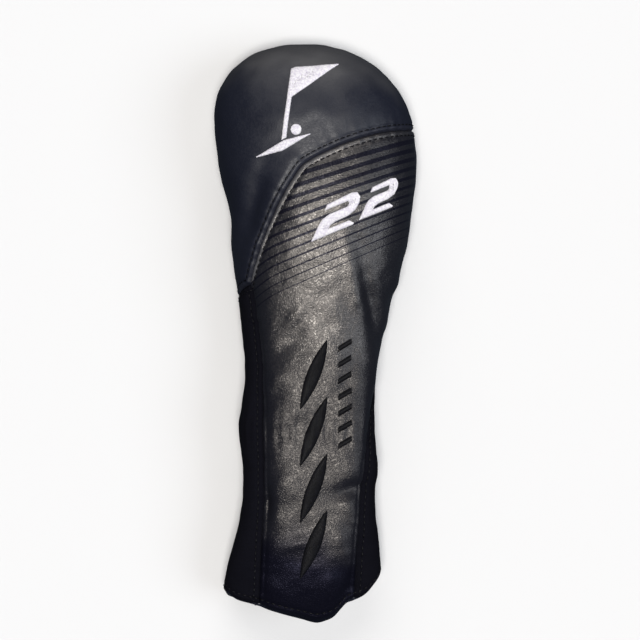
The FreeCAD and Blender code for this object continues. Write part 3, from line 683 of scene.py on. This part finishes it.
def layer(name, level, outer_depth, inner_depth, material, first=0, last=None, skinned=False):
    """A closed layer of the wall between two depths, over the part of the grid where level is above 0.

    A skinned layer is pressed down along its seams. The layers under it keep clear of that.
    """
    row, column, edge, faces = clip(level, first, last)
    stand = sample(rest if skinned else soft, row, column)
    out = sample(skin_normal if skinned else base_normal, row, column)
    if skinned:
        distance = np.where(edge, 0.0, sample(seam_distance, row, column))
        stand = stand + seam_press(distance, sample(side_seam, row, column), sample(off_floor, row, column))
    surface = sample(base, row, column) + sample(base_normal, row, column) * stand[:, None]
    if skinned:
        surface[:, 2] = np.maximum(surface[:, 2], FLOOR_GAP)
    outer, inner = surface - out * outer_depth, surface - out * inner_depth
    if skinned:
        inner[:, 2] = np.maximum(inner[:, 2], 2 * FLOOR_GAP + 0.8 * (inner_depth - outer_depth))
    points, solid = closed(outer, inner, faces)
    piece = add_mesh(name, points, solid, material)
    store(piece, "around", np.tile(np.interp(column, np.arange(COLUMNS), column_run), 2) * MM)
    store(piece, "along", np.tile(sample(along, row, column), 2) * MM)
    # The side seams get no painted sheen: their distances are kept out of the range of the painted sheen
    # strip along the seams.
    store(piece, "seam", np.tile(sample(seam_distance + 9.0 * side_seam, row, column), 2) * MM)
    return piece


def tubes(name, lines, material, sides):
    """Round threads. Each line is points and outward directions of one length, and a radius."""
    points, faces = [], []
    turns = np.arange(sides) * 2 * math.pi / sides
    turn_cos, turn_sin = np.cos(turns)[None, :, None], np.sin(turns)[None, :, None]
    for path, out, radius in lines:
        ahead = unit(np.gradient(path, axis=0))
        side = unit(np.cross(ahead, out))
        up = np.cross(side, ahead)
        start = len(points)
        ring = path[:, None] + radius * (turn_cos * side[:, None] + turn_sin * up[:, None])
        points.extend(ring.reshape(-1, 3))
        for k in range(len(path) - 1):
            a, b = start + k * sides, start + (k + 1) * sides
            faces += [(a + t, a + (t + 1) % sides, b + (t + 1) % sides, b + t) for t in range(sides)]
        end = start + (len(path) - 1) * sides
        faces += [tuple(start + t for t in reversed(range(sides))), tuple(end + t for t in range(sides))]
    return add_mesh(name, np.array(points), faces, material)


# ---- materials


class Nodes:
    """A short way to build a material's nodes."""

    def __init__(self, name):
        self.material = bpy.data.materials.new(name)
        self.material.use_nodes = True
        self.tree = self.material.node_tree
        self.shader = self.tree.nodes["Principled BSDF"]
        self.place = self.add("ShaderNodeTexCoord").outputs["Object"]

    def add(self, kind, inputs=None, **settings):
        node = self.tree.nodes.new(kind)
        for key, value in settings.items():
            setattr(node, key, value)
        for key, value in (inputs or {}).items():
            self.feed(value, node.inputs[key])
        return node

    def feed(self, value, socket):
        if isinstance(value, bpy.types.NodeSocket):
            self.tree.links.new(value, socket)
        else:
            socket.default_value = value

    def math(self, operation, a, b=0.0):
        return self.add("ShaderNodeMath", {0: a, 1: b}, operation=operation).outputs[0]

    def plus(self, a, b):
        return self.math("ADD", a, b)

    def minus(self, a, b):
        return self.math("SUBTRACT", a, b)

    def times(self, a, b):
        return self.math("MULTIPLY", a, b)

    def wave(self, value, wavelength):
        return self.math("SINE", self.times(value, 2 * math.pi / wavelength))

    def attribute(self, name):
        return self.add("ShaderNodeAttribute", attribute_name=name).outputs["Fac"]

    def noise(self, scale, detail, roughness=0.5):
        inputs = {"Vector": self.place, "Scale": scale, "Detail": detail, "Roughness": roughness}
        return self.add("ShaderNodeTexNoise", inputs).outputs["Fac"]

    def ramp(self, value, low, high, out_low=0.0, out_high=1.0):
        inputs = {"Value": value, "From Min": low, "From Max": high, "To Min": out_low, "To Max": out_high}
        return self.add("ShaderNodeMapRange", inputs, interpolation_type="SMOOTHSTEP").outputs["Result"]

    def mix(self, factor, a, b):
        node = self.add("ShaderNodeMix", data_type="RGBA")
        for key, value in (("Factor_Float", factor), ("A_Color", a), ("B_Color", b)):
            socket = [s for s in node.inputs if s.identifier == key][0]
            self.feed((*value, 1.0) if isinstance(value, tuple) else value, socket)
        return [s for s in node.outputs if s.identifier == "Result_Color"][0]

    def bump(self, height, distance, strength=1.0, normal=None):
        inputs = {"Height": height, "Distance": distance, "Strength": strength}
        if normal is not None:
            inputs["Normal"] = normal
        return self.add("ShaderNodeBump", inputs).outputs["Normal"]

    def finish(self, color, roughness, normal=None, **constants):
        self.feed((*color, 1.0) if isinstance(color, tuple) else color, self.shader.inputs["Base Color"])
        self.feed(roughness, self.shader.inputs["Roughness"])
        if normal is not None:
            self.feed(normal, self.shader.inputs["Normal"])
        for key, value in constants.items():
            self.shader.inputs[key.replace("_", " ")].default_value = value
        return self.material


def pebbles(nodes, cell, softness):
    """The raised cells of an embossed grain, 0 in the creases to 1 on top."""
    warp = nodes.add("ShaderNodeTexNoise", {"Vector": nodes.place, "Scale": 0.5 / cell, "Detail": 2.0})
    shift = nodes.add("ShaderNodeVectorMath", {0: warp.outputs["Color"], 1: (cell * 0.9,) * 3},
                      operation="MULTIPLY")
    moved = nodes.add("ShaderNodeVectorMath", {0: nodes.place, 1: shift.outputs[0]}, operation="ADD")
    cells = nodes.add("ShaderNodeTexVoronoi", {"Vector": moved.outputs[0], "Scale": 1 / cell},
                      feature="DISTANCE_TO_EDGE")
    return nodes.ramp(cells.outputs["Distance"], 0.0, softness)


def from_front(nodes):
    """How far a place lies across and up from the middle of the mouth, in mm."""
    axes = nodes.add("ShaderNodeSeparateXYZ", {"Vector": nodes.place}).outputs
    return [nodes.minus(nodes.times(axes[key], 1 / MM), float(move)) for key, move in zip("XY", SHIFT)]


def height_up(nodes):
    """How far up from the mouth a place lies, in mm, made a little uneven."""
    patchy = nodes.times(nodes.minus(nodes.noise(28.0, 2.0), 0.5), 44.0)
    return nodes.plus(from_front(nodes)[1], patchy)


# Stripe k lies this high up: FIRST + STEP k + GROWTH k^2 - (SLOPE - 2 FAN k) reach + droop, in mm.
# reach is how far it lies left of the fan's right end.
STRIPE_COUNT, STRIPE_END = 12, 57.0
STRIPE_FIRST, STRIPE_STEP, STRIPE_GROWTH = 228.0, 4.4, 0.047
STRIPE_SLOPE, STRIPE_FAN = 0.44, 0.0059
DROOP_FROM, DROOP = -20.0, -0.0155  # where the stripes start to bend down on the left, and how fast
THINNEST, THICKER = 0.3, 1.1  # half width of the lowest stripe, and what the top one has more


def stripe_mask(nodes):
    """The printed stripes: a fan of lines that thin out down the panel."""
    across, up = from_front(nodes)
    reach = nodes.minus(STRIPE_END, across)
    turned = nodes.math("MAXIMUM", nodes.minus(DROOP_FROM, across), 0.0)
    droop = nodes.times(nodes.math("POWER", turned, 2.0), DROOP)
    # The equation above, solved for k.
    half_b = nodes.plus(nodes.times(reach, STRIPE_FAN), STRIPE_STEP / 2)
    below = nodes.minus(nodes.plus(nodes.times(reach, -STRIPE_SLOPE), STRIPE_FIRST), up)
    below = nodes.plus(below, droop)
    square = nodes.minus(nodes.times(half_b, half_b), nodes.times(below, STRIPE_GROWTH))
    root = nodes.math("SQRT", nodes.math("MAXIMUM", square, 0.0))
    k = nodes.math("DIVIDE", nodes.minus(root, half_b), STRIPE_GROWTH)
    off = nodes.math("ABSOLUTE", nodes.minus(k, nodes.math("ROUND", k)))
    away = nodes.times(off, nodes.times(root, 2.0))
    share = nodes.math("MAXIMUM", nodes.math("DIVIDE", k, float(STRIPE_COUNT - 1)), 0.0)
    half_width = nodes.plus(nodes.times(nodes.math("POWER", share, 1.15), THICKER), THINNEST)
    on_line = nodes.ramp(nodes.minus(half_width, away), -0.08, 0.08)
    low = nodes.ramp(k, -0.5, -0.45)
    high = nodes.ramp(k, STRIPE_COUNT - 0.45, STRIPE_COUNT - 0.5)
    return nodes.times(nodes.times(on_line, low), high)


def crown_leather(name="crown_leather"):
    """Smooth dark leather, with a painted sheen along its seams and a painted highlight at the tip."""
    nodes = Nodes(name)
    # Painted highlight: the leather is made lighter in a strip along its seams.
    painted_seam_sheen = nodes.ramp(nodes.attribute("seam"), 0.0034, 0.0012, 0.0, 0.6)
    color = nodes.mix(nodes.noise(26.0, 3.0), (0.004, 0.005, 0.010), (0.007, 0.008, 0.014))
    color = nodes.mix(painted_seam_sheen, color, (0.012, 0.013, 0.020))
    # Painted highlight: the colour turns lighter towards the tip.
    color = nodes.mix(nodes.ramp(height_up(nodes), 306.0, 338.0), color, (0.040, 0.040, 0.043))
    rough = nodes.ramp(nodes.noise(700.0, 2.0), 0.3, 0.7, 0.40, 0.52)
    normal = nodes.bump(nodes.noise(2200.0, 2.0), 0.00004, 0.35)
    normal = nodes.bump(pebbles(nodes, 0.0009, 0.35), 0.00006, 0.45, normal)
    normal = nodes.bump(nodes.noise(95.0, 2.0), 0.0006, 0.35, normal)
    return nodes.finish(color, rough, normal, Specular_IOR_Level=0.24)


def front_leather():
    """Grained glossy leather with printed stripes and a painted sheen strip along the seams, duller down the
    sleeve, with painted shade darkening it at the mouth.
    """
    nodes = Nodes("front_leather")
    grain = pebbles(nodes, 0.0011, 0.4)
    color = nodes.mix(nodes.noise(22.0, 3.0), (0.004, 0.0045, 0.008), (0.008, 0.008, 0.011))
    color = nodes.mix(nodes.ramp(grain, 0.0, 1.0, 0.4, 0.0), color, (0.004, 0.004, 0.005))
    seam = nodes.attribute("seam")
    # Painted highlight: a lighter sheen strip beside the seams, stronger from the middle leftwards.
    leftward = nodes.ramp(from_front(nodes)[0], 34.0, 2.0, 0.12, 0.85)
    color = nodes.mix(nodes.times(nodes.ramp(seam, 0.0040, 0.0028), leftward), color, (0.055, 0.055, 0.06))
    stripes = nodes.times(stripe_mask(nodes), nodes.ramp(seam, 0.0028, 0.0034))
    color = nodes.mix(nodes.times(stripes, 0.97), color, (0.003, 0.003, 0.006))
    rough = nodes.ramp(nodes.noise(1300.0, 1.0), 0.3, 0.7, 0.27, 0.43)
    up = height_up(nodes)
    # Painted shade: the colour darkens towards the mouth, where the surface turns down.
    hem = nodes.ramp(up, 62.0, 34.0)
    color = nodes.mix(hem, color, (0.0022, 0.0022, 0.0045))
    polish = nodes.mix(nodes.ramp(up, 128.0, 176.0), (0.42, 0.395, 0.37), (1.0, 0.94, 0.88))
    polish = nodes.mix(hem, polish, (0.07, 0.07, 0.11))
    nodes.feed(nodes.mix(stripes, polish, (0.16, 0.16, 0.20)), nodes.shader.inputs["Specular Tint"])
    normal = nodes.bump(nodes.noise(2400.0, 2.0), 0.00005, 0.5)
    normal = nodes.bump(grain, 0.00012, 0.65, normal)
    normal = nodes.bump(nodes.noise(110.0, 3.0), 0.0009, 0.5, normal)
    return nodes.finish(color, rough, normal, Specular_IOR_Level=0.55)


def knit(name, dark, light, pitch=0.0011):
    """A dense knit with ribs that run along the cover."""
    nodes = Nodes(name)
    rib = nodes.math("ABSOLUTE", nodes.wave(nodes.attribute("around"), pitch))
    course = nodes.wave(nodes.plus(nodes.times(rib, pitch * 0.5), nodes.attribute("along")), pitch * 0.75)
    height = nodes.plus(nodes.times(rib, 0.65), nodes.times(course, 0.22))
    color = nodes.mix(nodes.ramp(height, 0.0, 0.9), dark, light)
    color = nodes.mix(nodes.times(nodes.noise(60.0, 2.0), 0.3), color, dark)
    normal = nodes.bump(height, 0.00022, 0.8, nodes.bump(nodes.noise(3000.0, 2.0), 0.0001, 0.4))
    return nodes.finish(color, 0.85, normal, Specular_IOR_Level=0.06)


def thread(name, color, shade, rough, sheen, gloss):
    """Twisted thread with a soft shine."""
    nodes = Nodes(name)
    tone = nodes.mix(nodes.ramp(nodes.noise(900.0, 1.0), 0.35, 0.65), shade, color)
    normal = nodes.bump(nodes.noise(5200.0, 1.0), 0.00005, 0.4)
    return nodes.finish(tone, rough, normal, Sheen_Weight=sheen, Anisotropic=0.3, Specular_IOR_Level=gloss)


def fleece(name, dark, light):
    """A matt tufted surface."""
    nodes = Nodes(name)
    tuft = nodes.noise(900.0, 4.0, 0.65)
    color = nodes.mix(nodes.ramp(tuft, 0.3, 0.7), dark, light)
    normal = nodes.bump(tuft, 0.0006, 0.9)
    return nodes.finish(color, 0.95, normal, Sheen_Weight=0.35, Sheen_Roughness=0.6, Specular_IOR_Level=0.15)


def weave(name, dark, light, pitch):
    """A plain woven or non-woven cloth for the hidden layers."""
    nodes = Nodes(name)
    crossing = nodes.times(*(nodes.wave(nodes.attribute(way), pitch) for way in ("around", "along")))
    height = nodes.plus(nodes.times(crossing, 0.5), 0.5)
    color = nodes.mix(height, dark, light)
    return nodes.finish(color, 0.8, nodes.bump(height, 0.00015, 0.7), Specular_IOR_Level=0.3)


CROWN = crown_leather()
FRONT = front_leather()
KNIT = knit("side_knit", (0.0008, 0.0008, 0.002), (0.003, 0.003, 0.006))
WHITE_THREAD = thread("white_thread", (0.53, 0.525, 0.545), (0.42, 0.40, 0.46), 0.45, 0.15, 0.4)
BLACK_THREAD = thread("black_thread", (0.0025, 0.0025, 0.004), (0.001, 0.001, 0.0015), 0.42, 0.0, 0.10)
FLEECE = fleece("fleece", (0.012, 0.012, 0.015), (0.06, 0.06, 0.068))
FOAM_PAD = fleece("foam", (0.20, 0.20, 0.21), (0.36, 0.36, 0.37))
ELASTIC = weave("elastic", (0.008, 0.008, 0.01), (0.04, 0.04, 0.045), 0.0013)
STABILISER = weave("backing", (0.45, 0.45, 0.45), (0.7, 0.7, 0.7), 0.0009)
BINDING = crown_leather("binding")

# ---- panels and foam

PANEL_LOOKS = {"crown": CROWN, "front": FRONT, "back": KNIT, "left_side": KNIT, "right_side": KNIT}
FOAM_INSET, FOAM_START = 2.6, 3.5  # the foam is trimmed back from the seams and from the mouth
FOAM_GAP, LINING_GAP, BAND_GAP = 0.4, 0.1, 0.05  # play between a layer and the one outside it

for panel, material in PANEL_LOOKS.items():
    level = np.where(region == panel, seam_distance, -seam_distance)
    piece = layer(panel + "_panel_skin", level, 0.0, SKIN, material, skinned=True)
    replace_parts(piece, panel + "_panel")
    foam = layer(panel + "_foam_pad", level - FOAM_INSET, BACKING + FOAM_GAP, FOAM, FOAM_PAD,
                 first=int(FOAM_START / PITCH))
    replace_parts(foam, panel + "_foam")

# ---- lining, elastic, facing, binding

THROAT, LINING_START = 147.0, 2.5
ELASTIC_START, ELASTIC_END, FACING_START, FACING_END = 104.0, 122.0, 1.5, 16.0

whole = np.ones((ROWS, COLUMNS))
throat = int(np.searchsorted(row_along, THROAT))
front_half = np.where((angle > 0) & (angle < 180), 1.0, -1.0)
head_lining = layer("head_lining_fleece", whole, FOAM + LINING_GAP, LINING, FLEECE, first=throat)
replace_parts(head_lining, "head_lining")
for side, sign in (("front", 1.0), ("back", -1.0)):
    half_lining = layer("sleeve_lining_" + side + "_fleece", sign * front_half, FOAM + LINING_GAP, LINING,
                        FLEECE, first=int(LINING_START / PITCH), last=throat)
    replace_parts(half_lining, "sleeve_lining_" + side)

elastic_rows = np.searchsorted(row_along, [ELASTIC_START, ELASTIC_END])
elastic = layer("neck_elastic_band", whole, LINING + BAND_GAP, BAND, ELASTIC, *elastic_rows)
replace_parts(elastic, "neck_elastic")
facing = layer("hem_facing_band", whole, LINING + BAND_GAP, BAND, BINDING,
               int(FACING_START / PITCH), int(FACING_END / PITCH))
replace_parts(facing, "hem_facing")


ROLL_AHEAD, ROLL_LENGTH, ROLL_ABOVE_FLOOR = 1.6, 2.1, 0.15
FAR_FROM_SEAMS = 0.02  # in metres


def rolled_hem():
    """The binding: a soft roll that closes the wall round the mouth."""
    middle_depth, half_depth = (SKIN + LINING) / 2 + 0.6, (LINING - SKIN) / 2
    edge = base[0] + base_normal[0] * soft[0][:, None]
    turns = np.linspace(0, 2 * math.pi, 17)[:-1]
    grid = np.array([
        edge - base_normal[0] * (middle_depth - half_depth * math.cos(turn))
        + np.array([0.0, ROLL_AHEAD + ROLL_LENGTH * math.sin(turn), 0.0])
        for turn in turns
    ])
    grid[..., 2] = np.maximum(grid[..., 2], ROLL_ABOVE_FLOOR)
    faces = []
    for k in range(len(turns)):
        here, ahead = k * COLUMNS, (k + 1) % len(turns) * COLUMNS
        for j in range(COLUMNS):
            beyond = (j + 1) % COLUMNS
            faces.append((here + j, ahead + j, ahead + beyond, here + beyond))
    piece = add_mesh("hem_binding_roll", grid.reshape(-1, 3), faces, BINDING)
    store(piece, "seam", np.full(len(piece.data.vertices), FAR_FROM_SEAMS))
    return piece


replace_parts(rolled_hem(), "hem_binding")

# ---- threads

STITCH_LENGTH, STITCH_PITCH, STITCH_RADIUS = 2.9, 3.8, 0.36
STITCH_RISE = np.array([-0.45, 0.05, 0.26, 0.32, 0.26, 0.05, -0.45])
FIRST_STITCH = 0.8
SINK, SINK_BELOW = 0.5, 7.0  # stitches this near the floor are pressed in by what the cover lies on


def beside(seam, aside, first):
    """Rows and columns of a line at a distance to the left of a seam, begun some way along it."""
    keep = seam["run"] >= first
    row, column = locate(np.stack([seam["along"], seam["angle"]], axis=-1)[keep])
    step = 0.5
    here = sample(base, row, column)
    down = (sample(base, row + step, column) - here) / step
    across = (sample(base, row, column + step) - here) / step
    left = unit(np.cross(sample(base_normal, row, column), np.gradient(here, axis=0)))
    aa, bb, ab = (np.sum(u * v, axis=1) for u, v in ((down, down), (across, across), (down, across)))
    pa, pb = np.sum(left * down, axis=1) * aside, np.sum(left * across, axis=1) * aside
    det = np.maximum(aa * bb - ab * ab, TINY)
    return row + (pa * bb - pb * ab) / det, column + (pb * aa - pa * ab) / det


def hem_line(ahead):
    """Rows and columns of a line round the mouth at a distance from its edge."""
    column = np.linspace(0, COLUMNS, 3 * COLUMNS)
    return np.full(column.shape, ahead / PITCH), column


def topstitches(node, row, column):
    """Short threads that dive into the skin at both ends, along a line of rows and columns."""
    path, out = sample(skin, row, column), sample(skin_normal, row, column)
    run = run_of(path)
    lines = []
    for number in range(int((run[-1] - 1) / STITCH_PITCH)):
        at = FIRST_STITCH + number * STITCH_PITCH + np.linspace(0, STITCH_LENGTH, len(STITCH_RISE))
        spots, up = at_runs(at, run, path), at_runs(at, run, out)
        sink = SINK * (1 - np.clip(spots[:, 2] / SINK_BELOW, 0, 1))
        thread_line = spots + up * (STITCH_RISE - sink)[:, None]
        thread_line[:, 2] = np.maximum(thread_line[:, 2], STITCH_RADIUS + 0.02)
        lines.append((thread_line, up, STITCH_RADIUS))
    piece = tubes(node + "_thread", lines, BLACK_THREAD, sides=8)
    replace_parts(piece, node)


# Node, seam, side of the seam and how far along it the row starts.
STITCH_ROWS = [
    ("seam_stitches_crown", "crown", -1, 3),
    ("seam_stitches_front", "crown", 1, 3),
    ("side_stitches_left", "left", -1, 4),
    ("side_stitches_right", "right", -1, 14),
]
for node, seam, side, first in STITCH_ROWS:
    topstitches(node, *beside(seam_lines[seam], side * STITCH_ASIDE, first))
topstitches("hem_stitches", *hem_line(HEM_STITCHES))

# ---- embroidery

NUMBER_FOOT, NUMBER_ANGLE = (-2.0, 222.7), 22.5
NUMBER_WIDTH, NUMBER_HEIGHT, NUMBER_SLANT = 28.0, 17.0, 9.8
NUMBER_PITCH, SECOND_RISE, SECOND_WIDTH, SECOND_HEIGHT = 29.6, 1.0, 0.79, 0.9
# Corners of the figure two as shares of its width and height, begun at the tip of its foot.
FIGURE_TWO = np.array([
    (0, 0), (0.13, 0.42), (0.20, 0.54), (0.34, 0.61), (0.74, 0.62), (0.77, 0.70), (0.73, 0.80),
    (0.22, 0.80), (0.26, 0.94), (0.79, 1), (0.92, 0.95), (1, 0.78), (1, 0.60), (0.93, 0.43),
    (0.78, 0.34), (0.50, 0.32), (0.39, 0.27), (0.35, 0.17), (0.82, 0.17), (0.94, 0.03), (0.90, 0),
])
EMBLEM_FOOT = (-18.0, 281.0)
STICK_LENGTH, STICK_WIDTH, PENNANT_LENGTH, PENNANT_HEIGHT = 37.0, 2.8, 28.0, 15.5
GREEN_LENGTH, GREEN_HEIGHT, BALL_RADIUS, BALL_ACROSS = 34.0, 5.0, 3.0, 9.0
BLADE_FOOT, BLADE_RUN, BLADE_RISE = (-8.5, 27.0), 15.5, 40.0
BLADE_RADIUS, BLADE_PITCH, BLADE_COUNT = 62.0, 33.0, 4
DASH_FOOT, DASH_RUN, DASH_RISE, DASH_HEIGHT = (13.6, 103.0), 7.6, 4.4, 3.0
DASH_PITCH, DASH_COUNT = 9.4, 7
LEAN = NUMBER_SLANT / NUMBER_HEIGHT
THREAD_PITCH, THREAD_RADIUS, LONGEST_THREAD = 0.42, 0.27, 9.0


def placed(corners, foot, turn=0.0, lean=0.0):
    """Corners of a motif moved to its foot, leant over and turned."""
    corners = np.array(corners, float)
    u, v = corners[:, 0] + corners[:, 1] * lean, corners[:, 1]
    c, s = math.cos(math.radians(turn)), math.sin(math.radians(turn))
    return np.stack([foot[0] + u * c - v * s, foot[1] + u * s + v * c], axis=-1)


def digit(start, rise, wide, tall):
    """A figure two on the number's line. Its size is given as shares of the first one's."""
    corners = FIGURE_TWO * (NUMBER_WIDTH * wide, NUMBER_HEIGHT * tall) + (start, rise)
    return placed(corners, NUMBER_FOOT, NUMBER_ANGLE, LEAN)


def blade(foot):
    """A leaning blade between two arcs."""
    tip = (foot[0] + BLADE_RUN, foot[1] + BLADE_RISE)
    return np.concatenate([arc(foot, tip, BLADE_RADIUS, -1, 12), arc(tip, foot, BLADE_RADIUS, -1, 12)])


def spans(outline, ahead, aside, draw):
    """Stretches across an outline, side by side, each cut up where it is too long for one thread."""
    u, v = outline @ ahead, outline @ aside
    after = np.roll(v, -1)
    found = []
    for level in np.arange(v.min() + THREAD_PITCH / 2, v.max(), THREAD_PITCH):
        hit = (v > level) != (after > level)
        u_hit = u[hit] + (level - v[hit]) / (after[hit] - v[hit]) * (np.roll(u, -1)[hit] - u[hit])
        for start, end in np.sort(u_hit)[: len(u_hit) // 2 * 2].reshape(-1, 2):
            start, end = start - draw.uniform(0, 0.14), end + draw.uniform(0, 0.14)
            parts = max(1, math.ceil((end - start) / LONGEST_THREAD))
            cuts = np.linspace(start, end, parts + 1)
            cuts[1:-1] += draw.uniform(-1.2, 1.2, parts - 1)
            found += [(level, a, b) for a, b in zip(cuts[:-1], cuts[1:])]
    return found


def satin(outlines, heading, height, seed):
    """Threads laid side by side across outlines seen from the front, at a heading in degrees."""
    draw = np.random.default_rng(seed)
    turn = math.radians(heading)
    ahead, aside = np.array([math.cos(turn), math.sin(turn)]), np.array([-math.sin(turn), math.cos(turn)])
    threads = []
    for level, a, b in [span for outline in outlines for span in spans(outline, ahead, aside, draw)]:
        steps = max(5, int((b - a) / 1.1) + 3)
        share = (1 - np.cos(np.linspace(0, math.pi, steps))) / 2
        row, column = over((a + (b - a) * share)[:, None] * ahead + level * aside)
        path, out = sample(skin, row, column), sample(skin_normal, row, column)
        arch = 1 - np.abs(2 * share - 1) ** 5
        lift = -0.1 + height * arch * min(1.0, 0.45 + (b - a) / 8) + draw.uniform(-0.03, 0.03)
        threads.append((path + out * lift[:, None], out, THREAD_RADIUS))
    return threads


def emblem():
    """A golf flag on its stick, the ground it stands in and a ball beside it."""
    half, pennant_foot = STICK_WIDTH / 2, STICK_LENGTH - PENNANT_HEIGHT
    flag = [
        (-half, 1.0), (half, 1.0), (half, pennant_foot),
        (half + PENNANT_LENGTH, STICK_LENGTH - PENNANT_HEIGHT / 2),
        (half, STICK_LENGTH), (-half, STICK_LENGTH),
    ]
    end, side = GREEN_LENGTH / 2, -GREEN_HEIGHT / 2
    green = [(-end, side), (0, -GREEN_HEIGHT), (end, side), (0, 0)]
    turns = np.linspace(0, 2 * math.pi, 25)[:-1]
    ball = np.stack([BALL_ACROSS + BALL_RADIUS * np.cos(turns), BALL_RADIUS * (1 + np.sin(turns))], axis=-1)
    return [placed(shape, EMBLEM_FOOT, NUMBER_ANGLE, lean)
            for shape, lean in ((flag, LEAN), (green, LEAN), (ball, 0.0))]


def dash(foot):
    """A slanted dash with upright ends."""
    top = DASH_RISE + DASH_HEIGHT
    return placed([(0, 0), (DASH_RUN, DASH_RISE), (DASH_RUN, top), (0, DASH_HEIGHT)], foot)


number = [digit(0.0, 0.0, 1.0, 1.0), digit(NUMBER_PITCH, SECOND_RISE, SECOND_WIDTH, SECOND_HEIGHT)]
blades = [blade((BLADE_FOOT[0], BLADE_FOOT[1] + k * BLADE_PITCH)) for k in range(BLADE_COUNT)]
dashes = [dash((DASH_FOOT[0], DASH_FOOT[1] + k * DASH_PITCH)) for k in range(DASH_COUNT)]
# Name, outlines, heading of the threads, material, how high they stand and random seed.
MOTIFS = [
    ("number", number, 97.0, WHITE_THREAD, 0.75, 20),
    ("emblem", emblem(), 112.0, WHITE_THREAD, 0.7, 21),
    ("blade", blades, -21.0, BLACK_THREAD, 0.8, 22),
    ("dash", dashes, 92.0, BLACK_THREAD, 0.55, 23),
]
for motif, outlines, heading, material, height, seed in MOTIFS:
    piece = tubes(motif + "_embroidery_thread", satin(outlines, heading, height, seed), material, sides=5)
    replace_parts(piece, motif + "_embroidery")

# ---- hidden tape and backings


CLOTH = 0.4  # how thick a backing is


def patch(node, plan_rows, depth=SKIN + 0.15):
    """A thin cloth behind the skin over a net of places seen from the front."""
    rows, columns = len(plan_rows), len(plan_rows[0])
    row, column = over(np.array(plan_rows).reshape(-1, 2))
    surface, out = sample(skin, row, column), sample(base_normal, row, column)
    faces = [
        [i * columns + j, i * columns + j + 1, (i + 1) * columns + j + 1, (i + 1) * columns + j]
        for i in range(rows - 1) for j in range(columns - 1)
    ]
    points, solid = closed(surface - out * depth, surface - out * (depth + CLOTH), faces)
    piece = add_mesh(node + "_cloth", points, solid, STABILISER)
    store(piece, "around", points[:, 0] * MM)
    store(piece, "along", points[:, 1] * MM)
    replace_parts(piece, node)


def net(left, right, foot, top, at, turn=0.0):
    """Places over a rectangle beside a motif's foot, about 2 mm apart."""
    us = np.linspace(left, right, int((right - left) / 2) + 2)
    vs = np.linspace(foot, top, int((top - foot) / 2) + 2)
    return [placed([(u, v) for u in us], at, turn) for v in vs]


TAPE_START, TAPE_DEPTH, TAPE_HALF = (52.0, 288.4), 2.0, 5.0
EDGE = 3  # how far a backing reaches past its motif

patch("number_backing", net(-EDGE, NUMBER_PITCH + NUMBER_WIDTH + 6, -EDGE, NUMBER_HEIGHT + EDGE,
                            NUMBER_FOOT, NUMBER_ANGLE))
patch("emblem_backing", net(-GREEN_LENGTH / 2, PENNANT_LENGTH + 12, -GREEN_HEIGHT, STICK_LENGTH - 3,
                            EMBLEM_FOOT, NUMBER_ANGLE))
motifs_right = DASH_FOOT[0] - BLADE_FOOT[0] + DASH_RUN
motifs_top = (BLADE_COUNT - 1) * BLADE_PITCH + BLADE_RISE
patch("blade_backing", net(-EDGE, motifs_right + EDGE, -EDGE, motifs_top + EDGE, BLADE_FOOT))
tape = crown_front(TAPE_START, 4)
heading = unit(np.gradient(tape, axis=0))
leftward = np.stack([-heading[:, 1], heading[:, 0]], axis=-1)
patch("seam_tape", [tape + leftward * w for w in np.linspace(TAPE_HALF, -TAPE_HALF, 5)], TAPE_DEPTH)

# ---- floor, light and camera


def make_floor():
    """A plain floor, for the picture only, that throws no light back up at the sides."""
    reach = 3.0
    mesh = bpy.data.meshes.new("floor")
    mesh.from_pydata([(-reach, -reach, 0), (reach, -reach, 0), (reach, reach, 0), (-reach, reach, 0)],
                     [], [(0, 1, 2, 3)])
    mesh.materials.append(Nodes("floor").finish((0.45, 0.453, 0.46), 0.9))
    floor = new_object("floor", mesh)
    floor.visible_diffuse = floor.visible_glossy = False


def overhead_light(name, tilt_across, tilt_along, power, spread, color=(1.0, 0.97, 0.93)):
    """A soft even light from above. Its tilts and spread are in degrees."""
    light = bpy.data.lights.new(name, "SUN")
    light.energy, light.angle, light.color = power, math.radians(spread), color
    lamp = new_object(name, light)
    lamp.rotation_euler = (math.radians(tilt_along), math.radians(tilt_across), 0.0)
    lamp.location = (0.0, 0.0, 1.5)


def make_world():
    """A dim bluish room, with a pale backdrop behind the floor."""
    world = bpy.data.worlds.new("studio")
    world.use_nodes = True
    tree = world.node_tree
    room = tree.nodes["Background"]
    room.inputs["Color"].default_value = (0.62, 0.76, 1.0, 1.0)
    room.inputs["Strength"].default_value = 0.075
    backdrop = tree.nodes.new("ShaderNodeBackground")
    backdrop.inputs["Color"].default_value = (0.92, 0.92, 0.92, 1.0)
    ray, blend = tree.nodes.new("ShaderNodeLightPath"), tree.nodes.new("ShaderNodeMixShader")
    tree.links.new(ray.outputs["Is Camera Ray"], blend.inputs[0])
    tree.links.new(room.outputs[0], blend.inputs[1])
    tree.links.new(backdrop.outputs[0], blend.inputs[2])
    tree.links.new(blend.outputs[0], tree.nodes["World Output"].inputs["Surface"])
    bpy.context.scene.world = world


CAMERA_HEIGHT = 1.6
PICTURE_WIDTH = 0.3765  # how much the picture takes in at the height where the cover is widest
WIDEST_HEIGHT = 0.024


def make_camera():
    """A camera straight above the cover."""
    data = bpy.data.cameras.new("camera")
    data.sensor_width = 36.0
    data.lens = data.sensor_width * (CAMERA_HEIGHT - WIDEST_HEIGHT) / PICTURE_WIDTH
    data.clip_end = 20.0
    camera = new_object("camera", data)
    camera.location = (0.0030, 0.0076, CAMERA_HEIGHT)
    bpy.context.scene.camera = camera


make_floor()
overhead_light("key", -1.0, 8.0, 4.6, 20.0)
overhead_light("window", -8.0, -57.0, 1.9, 50.0)
overhead_light("fill", 46.0, 6.0, 1.5, 36.0, (0.86, 0.92, 1.0))
make_world()
make_camera()
bpy.context.scene.view_settings.view_transform = "Standard"
